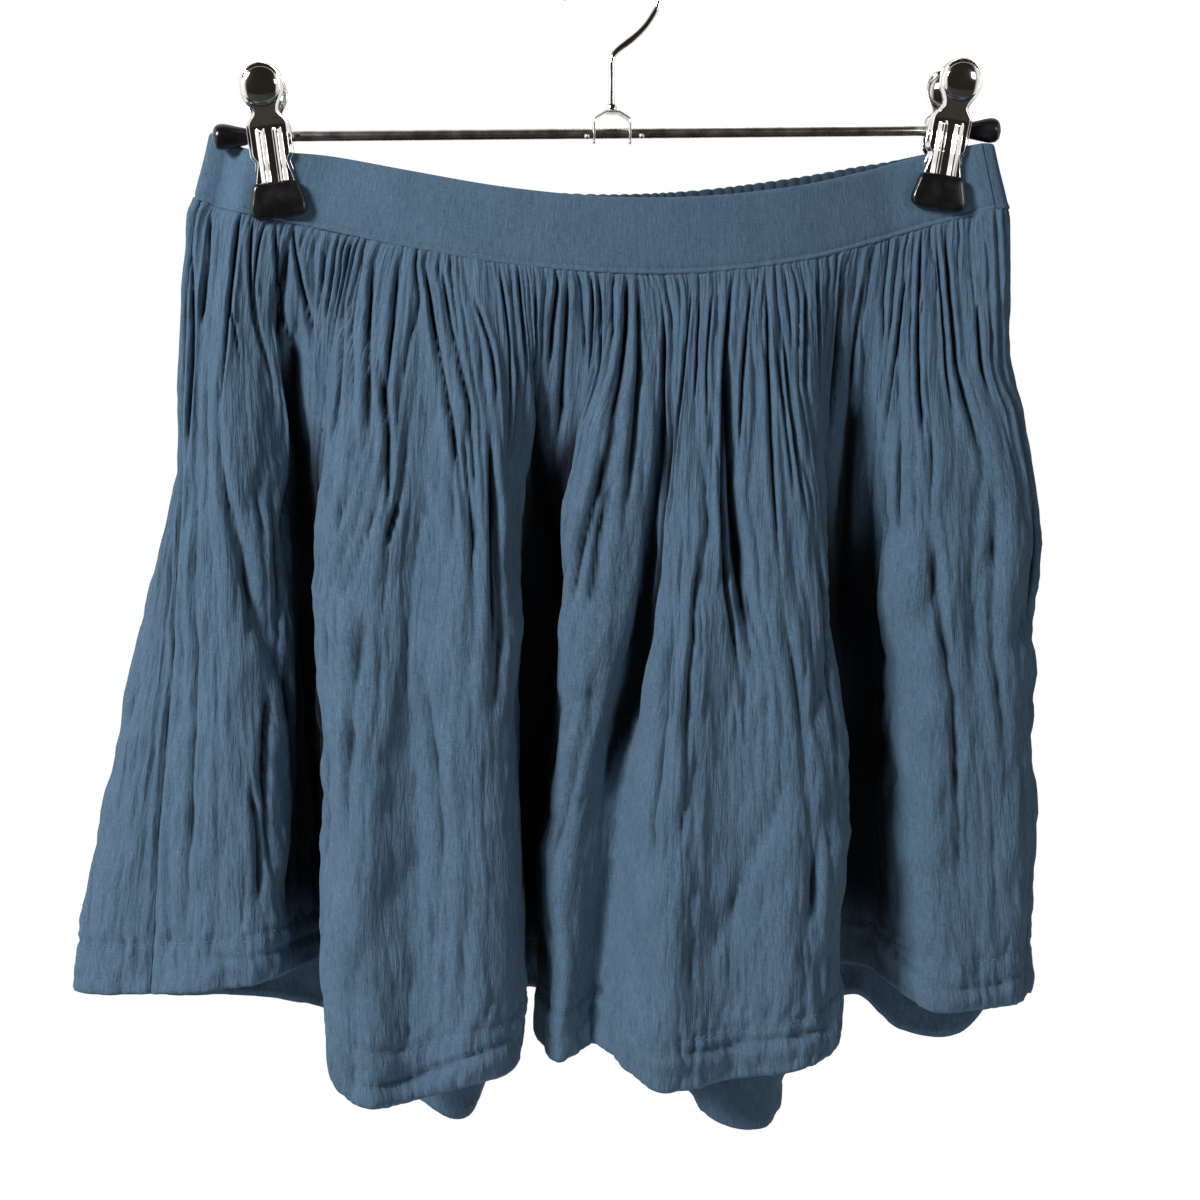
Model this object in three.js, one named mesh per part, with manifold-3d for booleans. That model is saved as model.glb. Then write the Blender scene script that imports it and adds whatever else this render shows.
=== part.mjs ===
// A child's gathered skirt of crinkled double gauze, hanging from a clip hanger.
// Millimetres, +Z up. The origin is the inside top of the hook, and the skirt's front faces -Y.
import * as THREE from 'three';
import { mergeVertices } from 'three/addons/utils/BufferGeometryUtils.js';
import Module from 'manifold-3d';

const wasm = await Module();
wasm.setup();

// ---- Driving dimensions ----
const seamGap = 0.3; // between pieces of cloth at a seam, and between parts that touch
const panelWall = 1.2; // thickness of the two layers of gauze
const bandWall = 2; // thickness of the folded waistband
const hemWall = 1; // thickness of the turned-up hem
const hemDepth = 22; // height of the turned-up hem
const skirtLength = 305; // from the waist seam to the hem, at the middle of the front
const bandHeight = 28; // along the middle of the front
const bandLean = 0.00145; // sideways lean of the waistband for each millimetre from its middle
const bandMiddle = -4; // where the waistband stands upright

const rod = { z: -72.6, tilt: 1.05, radius: 2, left: -148, right: 147.5 }; // the left end hangs lower
const rodTilt = THREE.MathUtils.degToRad(rod.tilt);
const cap = { length: 13, endRadius: 4.8, neckRadius: 2.9, cover: 3 };
const stud = { left: -9.7, right: 11.2, radius: 1, rise: 0.8, below: 32 }; // below: degrees under the front
const wire = {
  radius: 1.35,
  hookRadius: 17.7,
  hookHalfWidth: 18.8,
  stemFoot: -65.6,
  stemTop: -46.5,
  arcStart: -13, // degrees round the arc, from +X
  arcStep: 14,
  tipAngle: 197,
};
// The swan neck, where the stem sweeps out to meet the hook's arc: x and z.
const swanNeck = [
  [0.15, -44.8], [0.8, -43.1], [1.9, -41.6], [3.7, -40], [6, -38.2], [8.5, -36.3], [11, -34.1], [13.2, -31.7],
  [15.1, -29], [16.6, -26.3], [17.6, -23.6],
];
const collar = { radius: 2.3, height: 2.4, chamfer: 0.7 };
const stirrup = {
  halfWidth: 7.2,
  shoulder: 2.6,
  top: -64.2,
  bend: -67.2,
  bottom: -76.4,
  sheet: 1.1,
  depth: 7,
};
const pivot = { radius: 4.6, length: 15 };
const clips = { left: { x: -129.6, lean: 7.2 }, right: { x: 129.6, lean: -8.6 } };
const leg = { sheet: 1, headDrop: -16.5, curl: 0.9 };
const pad = { top: 17.4, bottom: 31, halfTop: 9, halfBottom: 11.3, thickness: 4, round: 2.5, shoulder: 1.2 };
const padFace = 2.2 + bandWall / 2 + seamGap; // how far a pad's flat face stands from the rod's plane
const thumbDome = { radius: 5.6, rise: 2.2 }; // the round button pressed into each leg's head

/** Turns rows of numbers into one object for each row, with the columns' names as its keys. */
function table(columns, rows) {
  return rows.map((row) => Object.fromEntries(columns.map((name, i) => [name, row[i]])));
}

// The waist seam in plan, from the left side seam to the right one. The clips pinch it at x = -129
// and x = 128, and it lies behind the rod's left end.
const waistColumns = ['x', 'y', 'z', 'height'];
const frontWaist = table(waistColumns, [
  [-158, 6.6, -101.7, 29.5],
  [-154.5, 6.4, -102.2, 29.2],
  [-151.5, 6.5, -102.6, 28.4],
  [-148.2, 5.4, -103, 26.9],
  [-145.4, 2.7, -103.3, 25.2],
  [-142.6, -0.7, -103.6, 24.4],
  [-139.6, -2.1, -104, 23.9],
  [-128, -2.1, -105.9, 25.2],
  [-115, -2.2, -108.4, 26.8],
  [-104, -3.8, -110.7, 27.4],
  [-80, -8.6, -115.9, 27.8],
  [-43, -12.5, -122.4, 28],
  [-5, -13.8, -125.8, 28],
  [32, -13, -125.8, 28.3],
  [71, -9.4, -120.8, 27.8],
  [99, -4.4, -113.7, 27],
  [111, -2.2, -110, 26.8],
  [128, -2.1, -105.2, 26.6],
  [139, -2.2, -102.4, 26],
  [144, -3.8, -101.1, 25.6],
  [148, -4.4, -100.2, 25.4],
]);
const backWaist = table(waistColumns, [
  [-158, 6.6, -101.7, 29.5],
  [-160.2, 7.5, -101.6, 29.4],
  [-160.6, 9.8, -101.6, 29.4],
  [-157.5, 11.4, -101.8, 29.3],
  [-153, 11.3, -102.4, 28],
  [-148.8, 9.6, -103, 26.8],
  [-145.7, 6.8, -103.4, 25.4],
  [-142.8, 3.4, -103.8, 24.4],
  [-139.8, 2.1, -104.1, 23.8],
  [-128, 2.1, -105.7, 25],
  [-115, 2.2, -107.9, 26.6],
  [-104, 3.6, -109.9, 27],
  [-80, 7.2, -114.6, 27.4],
  [-43, 10.4, -120.4, 28],
  [-5, 11.4, -122.3, 28],
  [32, 10.8, -120.8, 28],
  [71, 8, -115.6, 27.4],
  [99, 4.2, -110.2, 26.6],
  [111, 2.2, -107.8, 26],
  [128, 2.1, -104.4, 26.2],
  [139, 2.3, -102.2, 26],
  [146.5, 5, -100.7, 25.6],
  [151.4, 3.6, -99.9, 25.2],
  [152.9, 0, -99.7, 25],
  [151.6, -3.7, -99.9, 25.2],
  [148, -4.4, -100.2, 25.4],
]);

// The folds at the hem, from the left side seam to the right one: a row for each crest, edge and
// valley. bow is how far the fold stands to the right of a plain sweep, above its middle.
const foldColumns = ['x', 'y', 'z', 'bow'];
const frontFolds = table(foldColumns, [
  [-178, -12, -400, 6], // left side seam
  [-161, -20, -398, 2],
  [-143, -22, -396, -4], // first flute
  [-128, -15, -393, -10],
  [-115, 4, -392, -13],
  [-102, 13, -393, -10], // first valley
  [-99, 0, -402, -5],
  [-109, -24, -408, -3], // second flute, left edge
  [-105, -40, -430, -2],
  [-94, -45, -436, 0],
  [-76, -38, -435, -2],
  [-58, -45, -429, 0],
  [-39, -37, -424, 3], // second flute, right edge
  [-36, -14, -410, 3],
  [-41, 8, -407, 2], // second valley
  [-27, 11, -407, 8],
  [-28, -12, -419, 7], // third flute, left edge
  [-21, -29, -425, 8],
  [-9, -20, -420, 12],
  [1, -37, -426, 10],
  [16, -45, -433, 4], // fourth flute
  [42, -38, -430, 0],
  [66, -42, -427, 0],
  [85, -32, -420, -2], // fourth flute, right edge
  [87, -12, -400, -4],
  [82, 9, -398, -5], // third valley
  [103, 12, -400, -2],
  [112, -6, -404, -2],
  [125, -21, -410, -3], // fifth flute
  [142, -19, -410, -4],
  [160, -16, -409, 0],
  [167, -3, -408, 2], // right side seam
]);
const backFolds = table(foldColumns, [
  [-178, -12, -400, 6], // left side seam
  [-196, -9, -401, 13],
  [-208, 3, -402, 15],
  [-199, 19, -404, 10], // first flute
  [-172, 24, -409, 4],
  [-150, 34, -412, 0],
  [-128, 40, -416, 0], // second flute
  [-108, 32, -420, 0],
  [-88, 24, -434, 0],
  [-72, 8, -450, 0],
  [-58, 4, -455, 0], // first valley, which hangs lowest
  [-50, 20, -440, 0],
  [-42, 38, -416, 0],
  [-24, 46, -409, 0], // third flute
  [-4, 40, -414, 0],
  [14, 42, -424, 0],
  [33, 24, -446, 0],
  [42, 6, -459, 0],
  [62, 4, -461, 0], // second valley
  [70, 22, -446, 0],
  [84, 38, -424, 0],
  [106, 42, -418, 0], // fourth flute
  [122, 30, -430, 0],
  [142, 24, -433, 0],
  [158, 24, -424, 0],
  [169, 10, -412, 2],
  [167, -3, -408, 2], // right side seam
]);
const panels = {
  front: { side: -1, waist: frontWaist, folds: frontFolds, columns: 96 },
  back: { side: 1, waist: backWaist, folds: backFolds, columns: 84 },
};
const panelRows = 8;
const roundSides = 24; // facets round each turned part
const endCrowding = 0.7; // how much closer together the columns stand at the side seams

/** Reads a table as a smooth curve, by the share of its length in plan. extra names a 4th column. */
function track(rows, extra) {
  const samplesPerRow = 40;
  const place = new THREE.CatmullRomCurve3(
    rows.map((row) => new THREE.Vector3(row.x, row.y, row.z)), false, 'catmullrom');
  const spare = new THREE.CatmullRomCurve3(
    rows.map((row) => new THREE.Vector3(row[extra], 0, 0)), false, 'catmullrom');
  const count = (rows.length - 1) * samplesPerRow;
  const lengths = [0];
  let last = place.getPoint(0);
  for (let i = 1; i <= count; i += 1) {
    const next = place.getPoint(i / count);
    lengths.push(lengths[i - 1] + Math.hypot(next.x - last.x, next.y - last.y));
    last = next;
  }
  const total = lengths[count];
  function at(share) {
    const wanted = THREE.MathUtils.clamp(share, 0, 1) * total;
    let i = 1;
    while (i < count && lengths[i] < wanted) {
      i += 1;
    }
    const step = (wanted - lengths[i - 1]) / (lengths[i] - lengths[i - 1]);
    const t = (i - 1 + step) / count;
    const point = place.getPoint(t);
    return { x: point.x, y: point.y, z: point.z, extra: spare.getPoint(t).x };
  }
  return { at, total };
}

/**
 * A point of a panel. across runs from the left side seam to the right one, down from the waist
 * seam to the hem. Cloth keeps its width, so each thread leaves the waist at the same share of
 * its length as it reaches the hem. It sweeps out and opens into folds fastest near the top.
 */
function panelPoint(waist, hem, across, down) {
  const top = waist.at(across);
  const foot = hem.at(across);
  const spread = 1 - (1 - down) ** 2;
  const open = (1 - (1 - down) ** 1.8) * Math.sqrt(Math.min(1, down / 0.06));
  const bulge = Math.sin(Math.PI * down ** 0.7);
  return new THREE.Vector3(
    top.x + (foot.x - top.x) * spread + foot.extra * bulge,
    top.y + (foot.y - top.y) * open,
    top.z - seamGap + (foot.z - top.z + seamGap) * down,
  );
}

/** A point of the waistband, up from the seam by a share of the band's height there. */
function bandPoint(waist, across, up) {
  const seam = waist.at(across);
  const lean = -bandLean * (seam.x - bandMiddle);
  const rise = seam.extra * up;
  return new THREE.Vector3(seam.x + lean * rise, seam.y, seam.z + Math.sqrt(1 - lean * lean) * rise);
}

/** The outward normal at each point of a grid[row][column] whose columns run to the right. */
function gridNormals(grid, side) {
  const lastRow = grid.length - 1;
  const lastColumn = grid[0].length - 1;
  return grid.map((line, r) => line.map((_, c) => {
    const across = new THREE.Vector3().subVectors(
      line[Math.min(c + 1, lastColumn)], line[Math.max(c - 1, 0)]);
    const down = new THREE.Vector3().subVectors(
      grid[Math.min(r + 1, lastRow)][c], grid[Math.max(r - 1, 0)][c]);
    return across.cross(down).normalize().multiplyScalar(side);
  }));
}

/** A closed wall of a thickness, its middle moved off a grid of points along their normals. */
function wall(grid, side, thickness, offset = 0) {
  const normals = gridNormals(grid, side);
  const rows = grid.length;
  const columns = grid[0].length;
  const layer = rows * columns;
  const positions = [];
  for (const reach of [offset + thickness / 2, offset - thickness / 2]) {
    for (let r = 0; r < rows; r += 1) {
      for (let c = 0; c < columns; c += 1) {
        positions.push(...grid[r][c].clone().addScaledVector(normals[r][c], reach).toArray());
      }
    }
  }
  const index = [];
  const quad = (a, b, c, d) => index.push(a, b, c, a, c, d);
  for (let r = 0; r < rows - 1; r += 1) {
    for (let c = 0; c < columns - 1; c += 1) {
      const a = r * columns + c;
      quad(a, a + columns, a + columns + 1, a + 1);
      quad(layer + a, layer + a + 1, layer + a + columns + 1, layer + a + columns);
    }
  }
  for (let c = 0; c < columns - 1; c += 1) {
    const foot = (rows - 1) * columns + c;
    quad(c, c + 1, layer + c + 1, layer + c);
    quad(foot, layer + foot, layer + foot + 1, foot + 1);
  }
  for (let r = 0; r < rows - 1; r += 1) {
    const left = r * columns;
    const right = left + columns - 1;
    quad(left, layer + left, layer + left + columns, left + columns);
    quad(right, right + columns, layer + right + columns, layer + right);
  }
  const geometry = new THREE.BufferGeometry();
  geometry.setAttribute('position', new THREE.Float32BufferAttribute(positions, 3));
  geometry.setIndex(index);
  return outward(geometry);
}

/** Merges shared corners, and turns the faces round if they point inwards. */
function outward(source) {
  const bare = source.clone();
  bare.deleteAttribute('normal');
  bare.deleteAttribute('uv');
  const geometry = mergeVertices(bare);
  const index = geometry.index.array;
  const position = geometry.attributes.position;
  const [a, b, c] = [new THREE.Vector3(), new THREE.Vector3(), new THREE.Vector3()];
  let volume = 0;
  for (let i = 0; i < index.length; i += 3) {
    a.fromBufferAttribute(position, index[i]);
    b.fromBufferAttribute(position, index[i + 1]);
    c.fromBufferAttribute(position, index[i + 2]);
    volume += a.dot(b.cross(c));
  }
  if (volume < 0) {
    for (let i = 0; i < index.length; i += 3) {
      [index[i + 1], index[i + 2]] = [index[i + 2], index[i + 1]];
    }
  }
  geometry.computeVertexNormals();
  return geometry;
}

/** Cuts tools out of a body. */
function cut(body, tools) {
  const solid = (source) => {
    const geometry = outward(source);
    return new wasm.Manifold(new wasm.Mesh({
      numProp: 3,
      vertProperties: geometry.attributes.position.array,
      triVerts: new Uint32Array(geometry.index.array),
    }));
  };
  const mesh = tools.reduce((rest, tool) => rest.subtract(solid(tool)), solid(body)).getMesh();
  const geometry = new THREE.BufferGeometry();
  geometry.setAttribute('position', new THREE.BufferAttribute(mesh.vertProperties, 3));
  geometry.setIndex(new THREE.BufferAttribute(mesh.triVerts, 1));
  return outward(geometry);
}

/** A turned part along X: its profile is [place along X, radius] and closes on itself or the axis. */
function turnedAlongX(profile) {
  const points = profile.map(([x, radius]) => new THREE.Vector2(radius, x));
  return outward(new THREE.LatheGeometry(points, roundSides).rotateZ(-Math.PI / 2));
}

/** A sleeve along X, from one place to another, between two radii. */
function sleeve(from, to, inner, outer) {
  return turnedAlongX([[from, inner], [from, outer], [to, outer], [to, inner], [from, inner]]);
}

// ---- Materials ----
const finish = (color, roughness, metalness) => (
  new THREE.MeshStandardMaterial({ color, roughness, metalness }));
const gauze = finish(0x4f667c, 0.9, 0);
const bandCloth = finish(0x4f6477, 0.9, 0);
const chrome = finish(0xc9c9c9, 0.12, 1);
const rubber = finish(0x1e1f21, 0.45, 0);

const group = new THREE.Group();

function add(name, geometry, material, place = new THREE.Matrix4()) {
  const mesh = new THREE.Mesh(geometry, material);
  mesh.name = name;
  mesh.applyMatrix4(place);
  group.add(mesh);
}

// ---- The skirt ----
function spaced(count, from, to) {
  return Array.from({ length: count + 1 }, (_, i) => from + ((to - from) * i) / count);
}

function addPanel(name, { side, waist, folds, columns }) {
  const waistTrack = track(waist, 'height');
  const hemTrack = track(folds, 'bow');
  const inset = seamGap / 2 / waistTrack.total;
  const acrosses = spaced(columns, 0, 1).map((share) => (
    inset + (1 - 2 * inset) * (share - (endCrowding * Math.sin(2 * Math.PI * share)) / (2 * Math.PI))));
  const bandGrid = [1, seamGap / bandHeight].map((up) => (
    acrosses.map((across) => bandPoint(waistTrack, across, up))));
  add(`${name}_waistband`, wall(bandGrid, side, bandWall), bandCloth);

  const panelGrid = spaced(panelRows, 0, 1).map((down) => (
    acrosses.map((across) => panelPoint(waistTrack, hemTrack, across, down))));
  add(`${name}_panel`, wall(panelGrid, side, panelWall), gauze);

  const hemGrid = [1 - hemDepth / skirtLength, 1].map((down) => (
    acrosses.map((across) => panelPoint(waistTrack, hemTrack, across, down))));
  const inside = -(panelWall / 2 + seamGap + hemWall / 2);
  add(`${name}_hem`, wall(hemGrid, side, hemWall, inside), gauze);
}

// ---- The hanger ----
function hookGeometry() {
  const centre = wire.radius - wire.hookRadius;
  const points = [
    new THREE.Vector3(0, 0, wire.stemFoot),
    new THREE.Vector3(0, 0, (wire.stemFoot + wire.stemTop) / 2),
    new THREE.Vector3(0, 0, wire.stemTop),
    ...swanNeck.map(([x, z]) => new THREE.Vector3(x, 0, z)),
  ];
  for (let angle = wire.arcStart; angle <= wire.tipAngle; angle += wire.arcStep) {
    const turn = THREE.MathUtils.degToRad(angle);
    points.push(new THREE.Vector3(
      wire.hookHalfWidth * Math.cos(turn), 0, centre + wire.hookRadius * Math.sin(turn)));
  }
  const section = new THREE.Shape().absarc(0, 0, wire.radius, 0, Math.PI * 2);
  const path = new THREE.CatmullRomCurve3(points, false, 'centripetal');
  return outward(new THREE.ExtrudeGeometry(section, { extrudePath: path, steps: 84, curveSegments: 5 }));
}

/** The stirrup: a strip bent over the rod, pierced by the rod and by the hook's stem. */
function stirrupGeometry() {
  const { halfWidth, shoulder, top, bend, bottom, sheet, depth } = stirrup;
  const half = [
    [halfWidth, bottom], [halfWidth, bend], [shoulder, top],
    [shoulder - sheet / 2, top - sheet], [halfWidth - sheet, bend - sheet], [halfWidth - sheet, bottom],
  ];
  const outer = half.slice(0, 3);
  const inner = half.slice(3);
  const mirrored = (points) => points.map(([x, z]) => [-x, z]).reverse();
  const outline = [...outer, ...mirrored(outer), ...mirrored(inner), ...inner];
  const shape = new THREE.Shape(outline.map(([x, z]) => new THREE.Vector2(x, z)));
  const strip = new THREE.ExtrudeGeometry(shape, { depth, bevelEnabled: false });
  strip.rotateX(Math.PI / 2).translate(0, depth / 2, 0);
  const holeSides = 24;
  const rodBore = rod.radius + seamGap;
  const rodHole = new THREE.CylinderGeometry(rodBore, rodBore, 4 * halfWidth, holeSides);
  rodHole.rotateZ(Math.PI / 2).rotateY(-rodTilt).translate(0, 0, rod.z);
  const stemBore = wire.radius + seamGap;
  const stemHole = new THREE.CylinderGeometry(stemBore, stemBore, 4 * sheet, holeSides);
  stemHole.rotateX(Math.PI / 2).translate(0, 0, top);
  return cut(strip, [rodHole, stemHole]);
}

/** The collar pressed on the hook's stem, which rests on the stirrup: a ring with a chamfered top. */
function collarGeometry() {
  const bottom = stirrup.top + seamGap;
  const bore = wire.radius + seamGap;
  const { radius, chamfer, height } = collar;
  const profile = [
    [bore, bottom],
    [radius, bottom],
    [radius, bottom + height - chamfer],
    [radius - chamfer / 2, bottom + height],
    [bore, bottom + height],
    [bore, bottom],
  ];
  const points = profile.map(([reach, z]) => new THREE.Vector2(reach, z));
  return outward(new THREE.LatheGeometry(points, roundSides).rotateX(Math.PI / 2));
}

/** A round-headed pin low on the rod's front, which keeps the stirrup in its place along the rod. */
function studGeometry(x) {
  const { radius, rise, below } = stud;
  const foot = rod.radius + seamGap;
  const points = [new THREE.Vector2(0, foot), new THREE.Vector2(radius, foot)];
  for (let step = 0; step <= 4; step += 1) {
    const turn = (step / 4) * (Math.PI / 2);
    points.push(new THREE.Vector2(radius * Math.cos(turn), foot + 0.25 + rise * Math.sin(turn)));
  }
  const head = new THREE.LatheGeometry(points, 16);
  return outward(head.rotateX(Math.PI + THREE.MathUtils.degToRad(below)).translate(x, 0, 0));
}

// A rod cap's outside, back from its outer end: how far back, and the share of its full radius.
const capRows = table(['back', 'share'], [
  [0, 0],
  [0.4, 0.55],
  [1.5, 0.9],
  [3, 1],
  [6, 0.93],
]);

/** A rubber cap on the rod's end: flared towards its round outer end, with a blind bore. */
function capGeometry(end, direction) {
  const bore = rod.radius + seamGap;
  const outer = end + direction * cap.cover;
  const place = (back) => outer - direction * back;
  return turnedAlongX([
    ...capRows.map(({ back, share }) => [place(back), cap.endRadius * share]),
    [place(cap.length), cap.neckRadius],
    [place(cap.length), bore],
    [place(cap.cover - seamGap), bore],
    [place(cap.cover - seamGap), 0],
  ]);
}

// One leg of a clip, down from its thumb disc: how far below the rod, half its width, and how far
// its middle stands in front of the rod.
const legRows = table(['drop', 'half', 'stand'], [
  [-23.8, 1.6, 15.2],
  [-22.7, 4.4, 15],
  [-20.5, 6.4, 14.7],
  [-16.5, 7.4, 14.2],
  [-13, 6.8, 13.4],
  [-10.6, 5.9, 12.4],
  [-8.4, 5.5, 11],
  [-6.6, 6.6, 9.5],
  [-4.8, 8.2, 8],
  [-2, 8.2, 6.4],
  [3, 8.2, 6.1],
  [8, 8.2, 6],
  [9.6, 6.5, 5.9],
  [13, 6.8, 5.5],
  [17.1, 7.7, 5.2],
]);
const legColumns = 8;

function legGeometry(side) {
  const grid = legRows.map(({ drop, half, stand }) => spaced(legColumns, -1, 1).map((across) => {
    const edge = leg.curl * across ** 4;
    const fromHead = Math.hypot(across * half, drop - leg.headDrop) / thumbDome.radius;
    const dome = thumbDome.rise * Math.max(0, 1 - fromHead ** 2);
    return new THREE.Vector3(across * half, side * (stand - edge + dome), -drop);
  }));
  return wall(grid, side, leg.sheet);
}

/** A rubber jaw pad: a tapered block with round corners, its flat face against the cloth. */
function padGeometry(side) {
  const { top, bottom, halfTop, halfBottom, thickness, round, shoulder } = pad;
  const shape = new THREE.Shape();
  shape.moveTo(-halfTop + shoulder, -top);
  shape.lineTo(halfTop - shoulder, -top);
  shape.quadraticCurveTo(halfTop, -top, halfTop, -top - shoulder);
  shape.lineTo(halfBottom, -bottom + round);
  shape.quadraticCurveTo(halfBottom, -bottom, halfBottom - round, -bottom);
  shape.lineTo(-halfBottom + round, -bottom);
  shape.quadraticCurveTo(-halfBottom, -bottom, -halfBottom, -bottom + round);
  shape.lineTo(-halfTop, -top - shoulder);
  shape.quadraticCurveTo(-halfTop, -top, -halfTop + shoulder, -top);
  const block = new THREE.ExtrudeGeometry(shape, { depth: thickness, bevelEnabled: false, curveSegments: 4 });
  block.rotateX(Math.PI / 2);
  block.translate(0, side > 0 ? padFace + thickness : -padFace, 0);
  return outward(block);
}

/** A clip: two sprung legs with rubber pads, crossing at a barrel on the rod. */
function addClip(name, { x, lean }) {
  const place = new THREE.Matrix4().makeTranslation(x, 0, rod.z + x * Math.tan(rodTilt));
  place.multiply(new THREE.Matrix4().makeRotationY(-THREE.MathUtils.degToRad(lean)));
  for (const [end, side] of [['front', -1], ['back', 1]]) {
    add(`${name}_clip_${end}_leg`, legGeometry(side), chrome, place);
    add(`${name}_clip_${end}_pad`, padGeometry(side), rubber, place);
  }
  const from = x - pivot.length / 2;
  const barrel = sleeve(from, from + pivot.length, rod.radius + seamGap, pivot.radius);
  add(`${name}_clip_pivot`, barrel, chrome, atRod);
}

const atRod = new THREE.Matrix4().makeTranslation(0, 0, rod.z);
atRod.multiply(new THREE.Matrix4().makeRotationY(-rodTilt));
add('hook', hookGeometry(), chrome);
add('hook_collar', collarGeometry(), chrome);
add('stirrup', stirrupGeometry(), chrome);
add('rod', turnedAlongX([
  [rod.left, 0], [rod.left, rod.radius], [rod.right, rod.radius], [rod.right, 0],
]), chrome, atRod);
for (const [end, direction] of [['left', -1], ['right', 1]]) {
  add(`rod_stud_${end}`, studGeometry(stud[end]), chrome, atRod);
  add(`rod_cap_${end}`, capGeometry(rod[end], direction), rubber, atRod);
  addClip(end, clips[end]);
}
addPanel('front', panels.front);
addPanel('back', panels.back);

export default group;
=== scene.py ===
"""A child's gathered skirt of crinkled gauze on a clip hanger, laid out as a Blender add-on.

The tables give millimetres, as the pattern does. The meshes are in metres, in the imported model's frame:
+Z up, the origin inside the top of the hook, and the skirt's front facing -Y.
"""

import math

import bmesh
import bpy
import numpy as np
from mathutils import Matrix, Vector


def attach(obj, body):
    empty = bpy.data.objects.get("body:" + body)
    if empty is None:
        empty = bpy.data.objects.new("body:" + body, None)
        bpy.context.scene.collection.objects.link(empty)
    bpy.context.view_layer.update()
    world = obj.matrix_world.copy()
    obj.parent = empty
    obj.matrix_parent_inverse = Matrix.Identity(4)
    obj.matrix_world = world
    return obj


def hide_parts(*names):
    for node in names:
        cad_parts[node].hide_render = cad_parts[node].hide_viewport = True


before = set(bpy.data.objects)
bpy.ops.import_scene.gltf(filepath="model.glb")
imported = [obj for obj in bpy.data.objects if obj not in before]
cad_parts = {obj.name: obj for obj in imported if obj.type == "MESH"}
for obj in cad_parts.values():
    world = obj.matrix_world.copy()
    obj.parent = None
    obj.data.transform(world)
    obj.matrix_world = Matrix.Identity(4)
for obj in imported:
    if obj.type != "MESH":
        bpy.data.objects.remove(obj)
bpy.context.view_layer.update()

bl_info = {
    "name": "Gathered skirt on a clip hanger",
    "version": (1, 0, 0),
    "blender": (4, 5, 0),
    "location": "View3D > Sidebar > Skirt",
    "description": "Builds the skirt's cloth and its hanger round the packed model",
    "category": "Object",
}

MM = 0.001

# ---- The pattern, in millimetres ----
SEAM_GAP = 0.3
PANEL_WALL = 1.2
SKIRT_LENGTH = 305.0
HEM_DEPTH = 22.0
HEM_GAP = 0.12
HEM_WALL = 0.75
STITCH_LINE = SKIRT_LENGTH - HEM_DEPTH + 2
BAND_HEIGHT = 28.0
BAND_GAP = 0.05  # from each end of a waistband to the side seam
BAND_LEAN = 0.00145
BAND_MIDDLE = -4.0
ROD_Z = -72.6
ROD_TILT = math.radians(1.05)  # the left end hangs lower
HEAD_DROP = -17.1

# The waist seam, from the left side seam to the right one: x, y, z and the waistband's height.
FRONT_WAIST = [
    (-155.8, 6.6, -98.2, 26), (-153, 6.4, -98.9, 25.8), (-150.8, 6.5, -99.9, 25.5),
    (-148.2, 5.4, -100.9, 24.8), (-145.4, 2.7, -101.8, 23.7), (-142.6, -0.7, -102.7, 23.5),
    (-139.6, -2.1, -103.6, 23.5), (-128, -2.1, -105.9, 25.2), (-115, -2.2, -108.4, 26.8),
    (-104, -3.8, -110.7, 27.4), (-80, -8.6, -115.9, 27.8), (-43, -12.5, -122.4, 28),
    (-5, -13.8, -125.8, 28), (32, -13, -125.8, 28.3), (71, -9.4, -120.8, 27.8), (99, -4.4, -113.7, 27),
    (111, -2.2, -110, 26.8), (128, -2.1, -105.2, 26.6), (139, -2.2, -102.4, 26),
    (144, -3.8, -101.1, 25.6), (148, -4.4, -100.2, 25.4),
]
BACK_WAIST = [
    (-155.8, 6.6, -98.2, 26), (-157.9, 7.5, -98, 25.8), (-158.3, 9.8, -98.1, 25.9),
    (-155.6, 11.4, -98.5, 26), (-152, 11.3, -99.6, 25.2), (-148.8, 9.6, -100.9, 24.7),
    (-145.7, 6.8, -101.9, 23.9), (-142.8, 3.4, -102.9, 23.5), (-139.8, 2.1, -103.7, 23.4),
    (-128, 2.1, -105.7, 25), (-115, 2.2, -107.9, 26.6), (-104, 3.6, -109.9, 27), (-80, 7.2, -114.6, 27.4),
    (-43, 10.4, -120.4, 28), (-5, 11.4, -122.3, 28), (32, 10.8, -120.8, 28), (71, 8, -115.6, 27.4),
    (99, 4.2, -110.2, 26.6), (111, 2.2, -107.8, 26), (128, 2.1, -104.4, 26.2), (139, 2.3, -102.2, 26),
    (146.5, 5, -100.7, 25.6), (151.4, 3.6, -99.9, 25.2), (152.9, 0, -99.7, 25),
    (151.6, -3.7, -99.9, 25.2), (148, -4.4, -100.2, 25.4),
]
# The folds at the hem, in the same order: x, y, z and bow, how far a fold stands to the right above.
FRONT_FOLDS = [
    (-178, -12, -400, 6), (-161, -20, -398, 2), (-143, -22, -396, -4), (-128, -15, -393, -10),
    (-115, 4, -392, -13), (-102, 13, -393, -10), (-99, 0, -402, -8), (-109, -24, -408, -8),
    (-105, -40, -430, -6), (-94, -45, -436, -2), (-76, -38, -435, -2), (-58, -45, -429, 0),
    (-39, -37, -424, 3), (-36, -14, -410, 3), (-41, 8, -407, 2), (-27, 11, -407, 8),
    (-28, -12, -419, 7), (-21, -29, -425, 8), (-9, -20, -420, 12), (1, -37, -426, 10),
    (16, -45, -433, 4), (42, -38, -430, 0), (66, -42, -427, 0), (85, -32, -420, -2),
    (87, -12, -400, -4), (82, 9, -398, -5), (103, 12, -400, -2), (112, -6, -404, -2),
    (125, -21, -410, -3), (142, -19, -410, -4), (160, -16, -409, 0), (167, -3, -408, 2),
]
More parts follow.
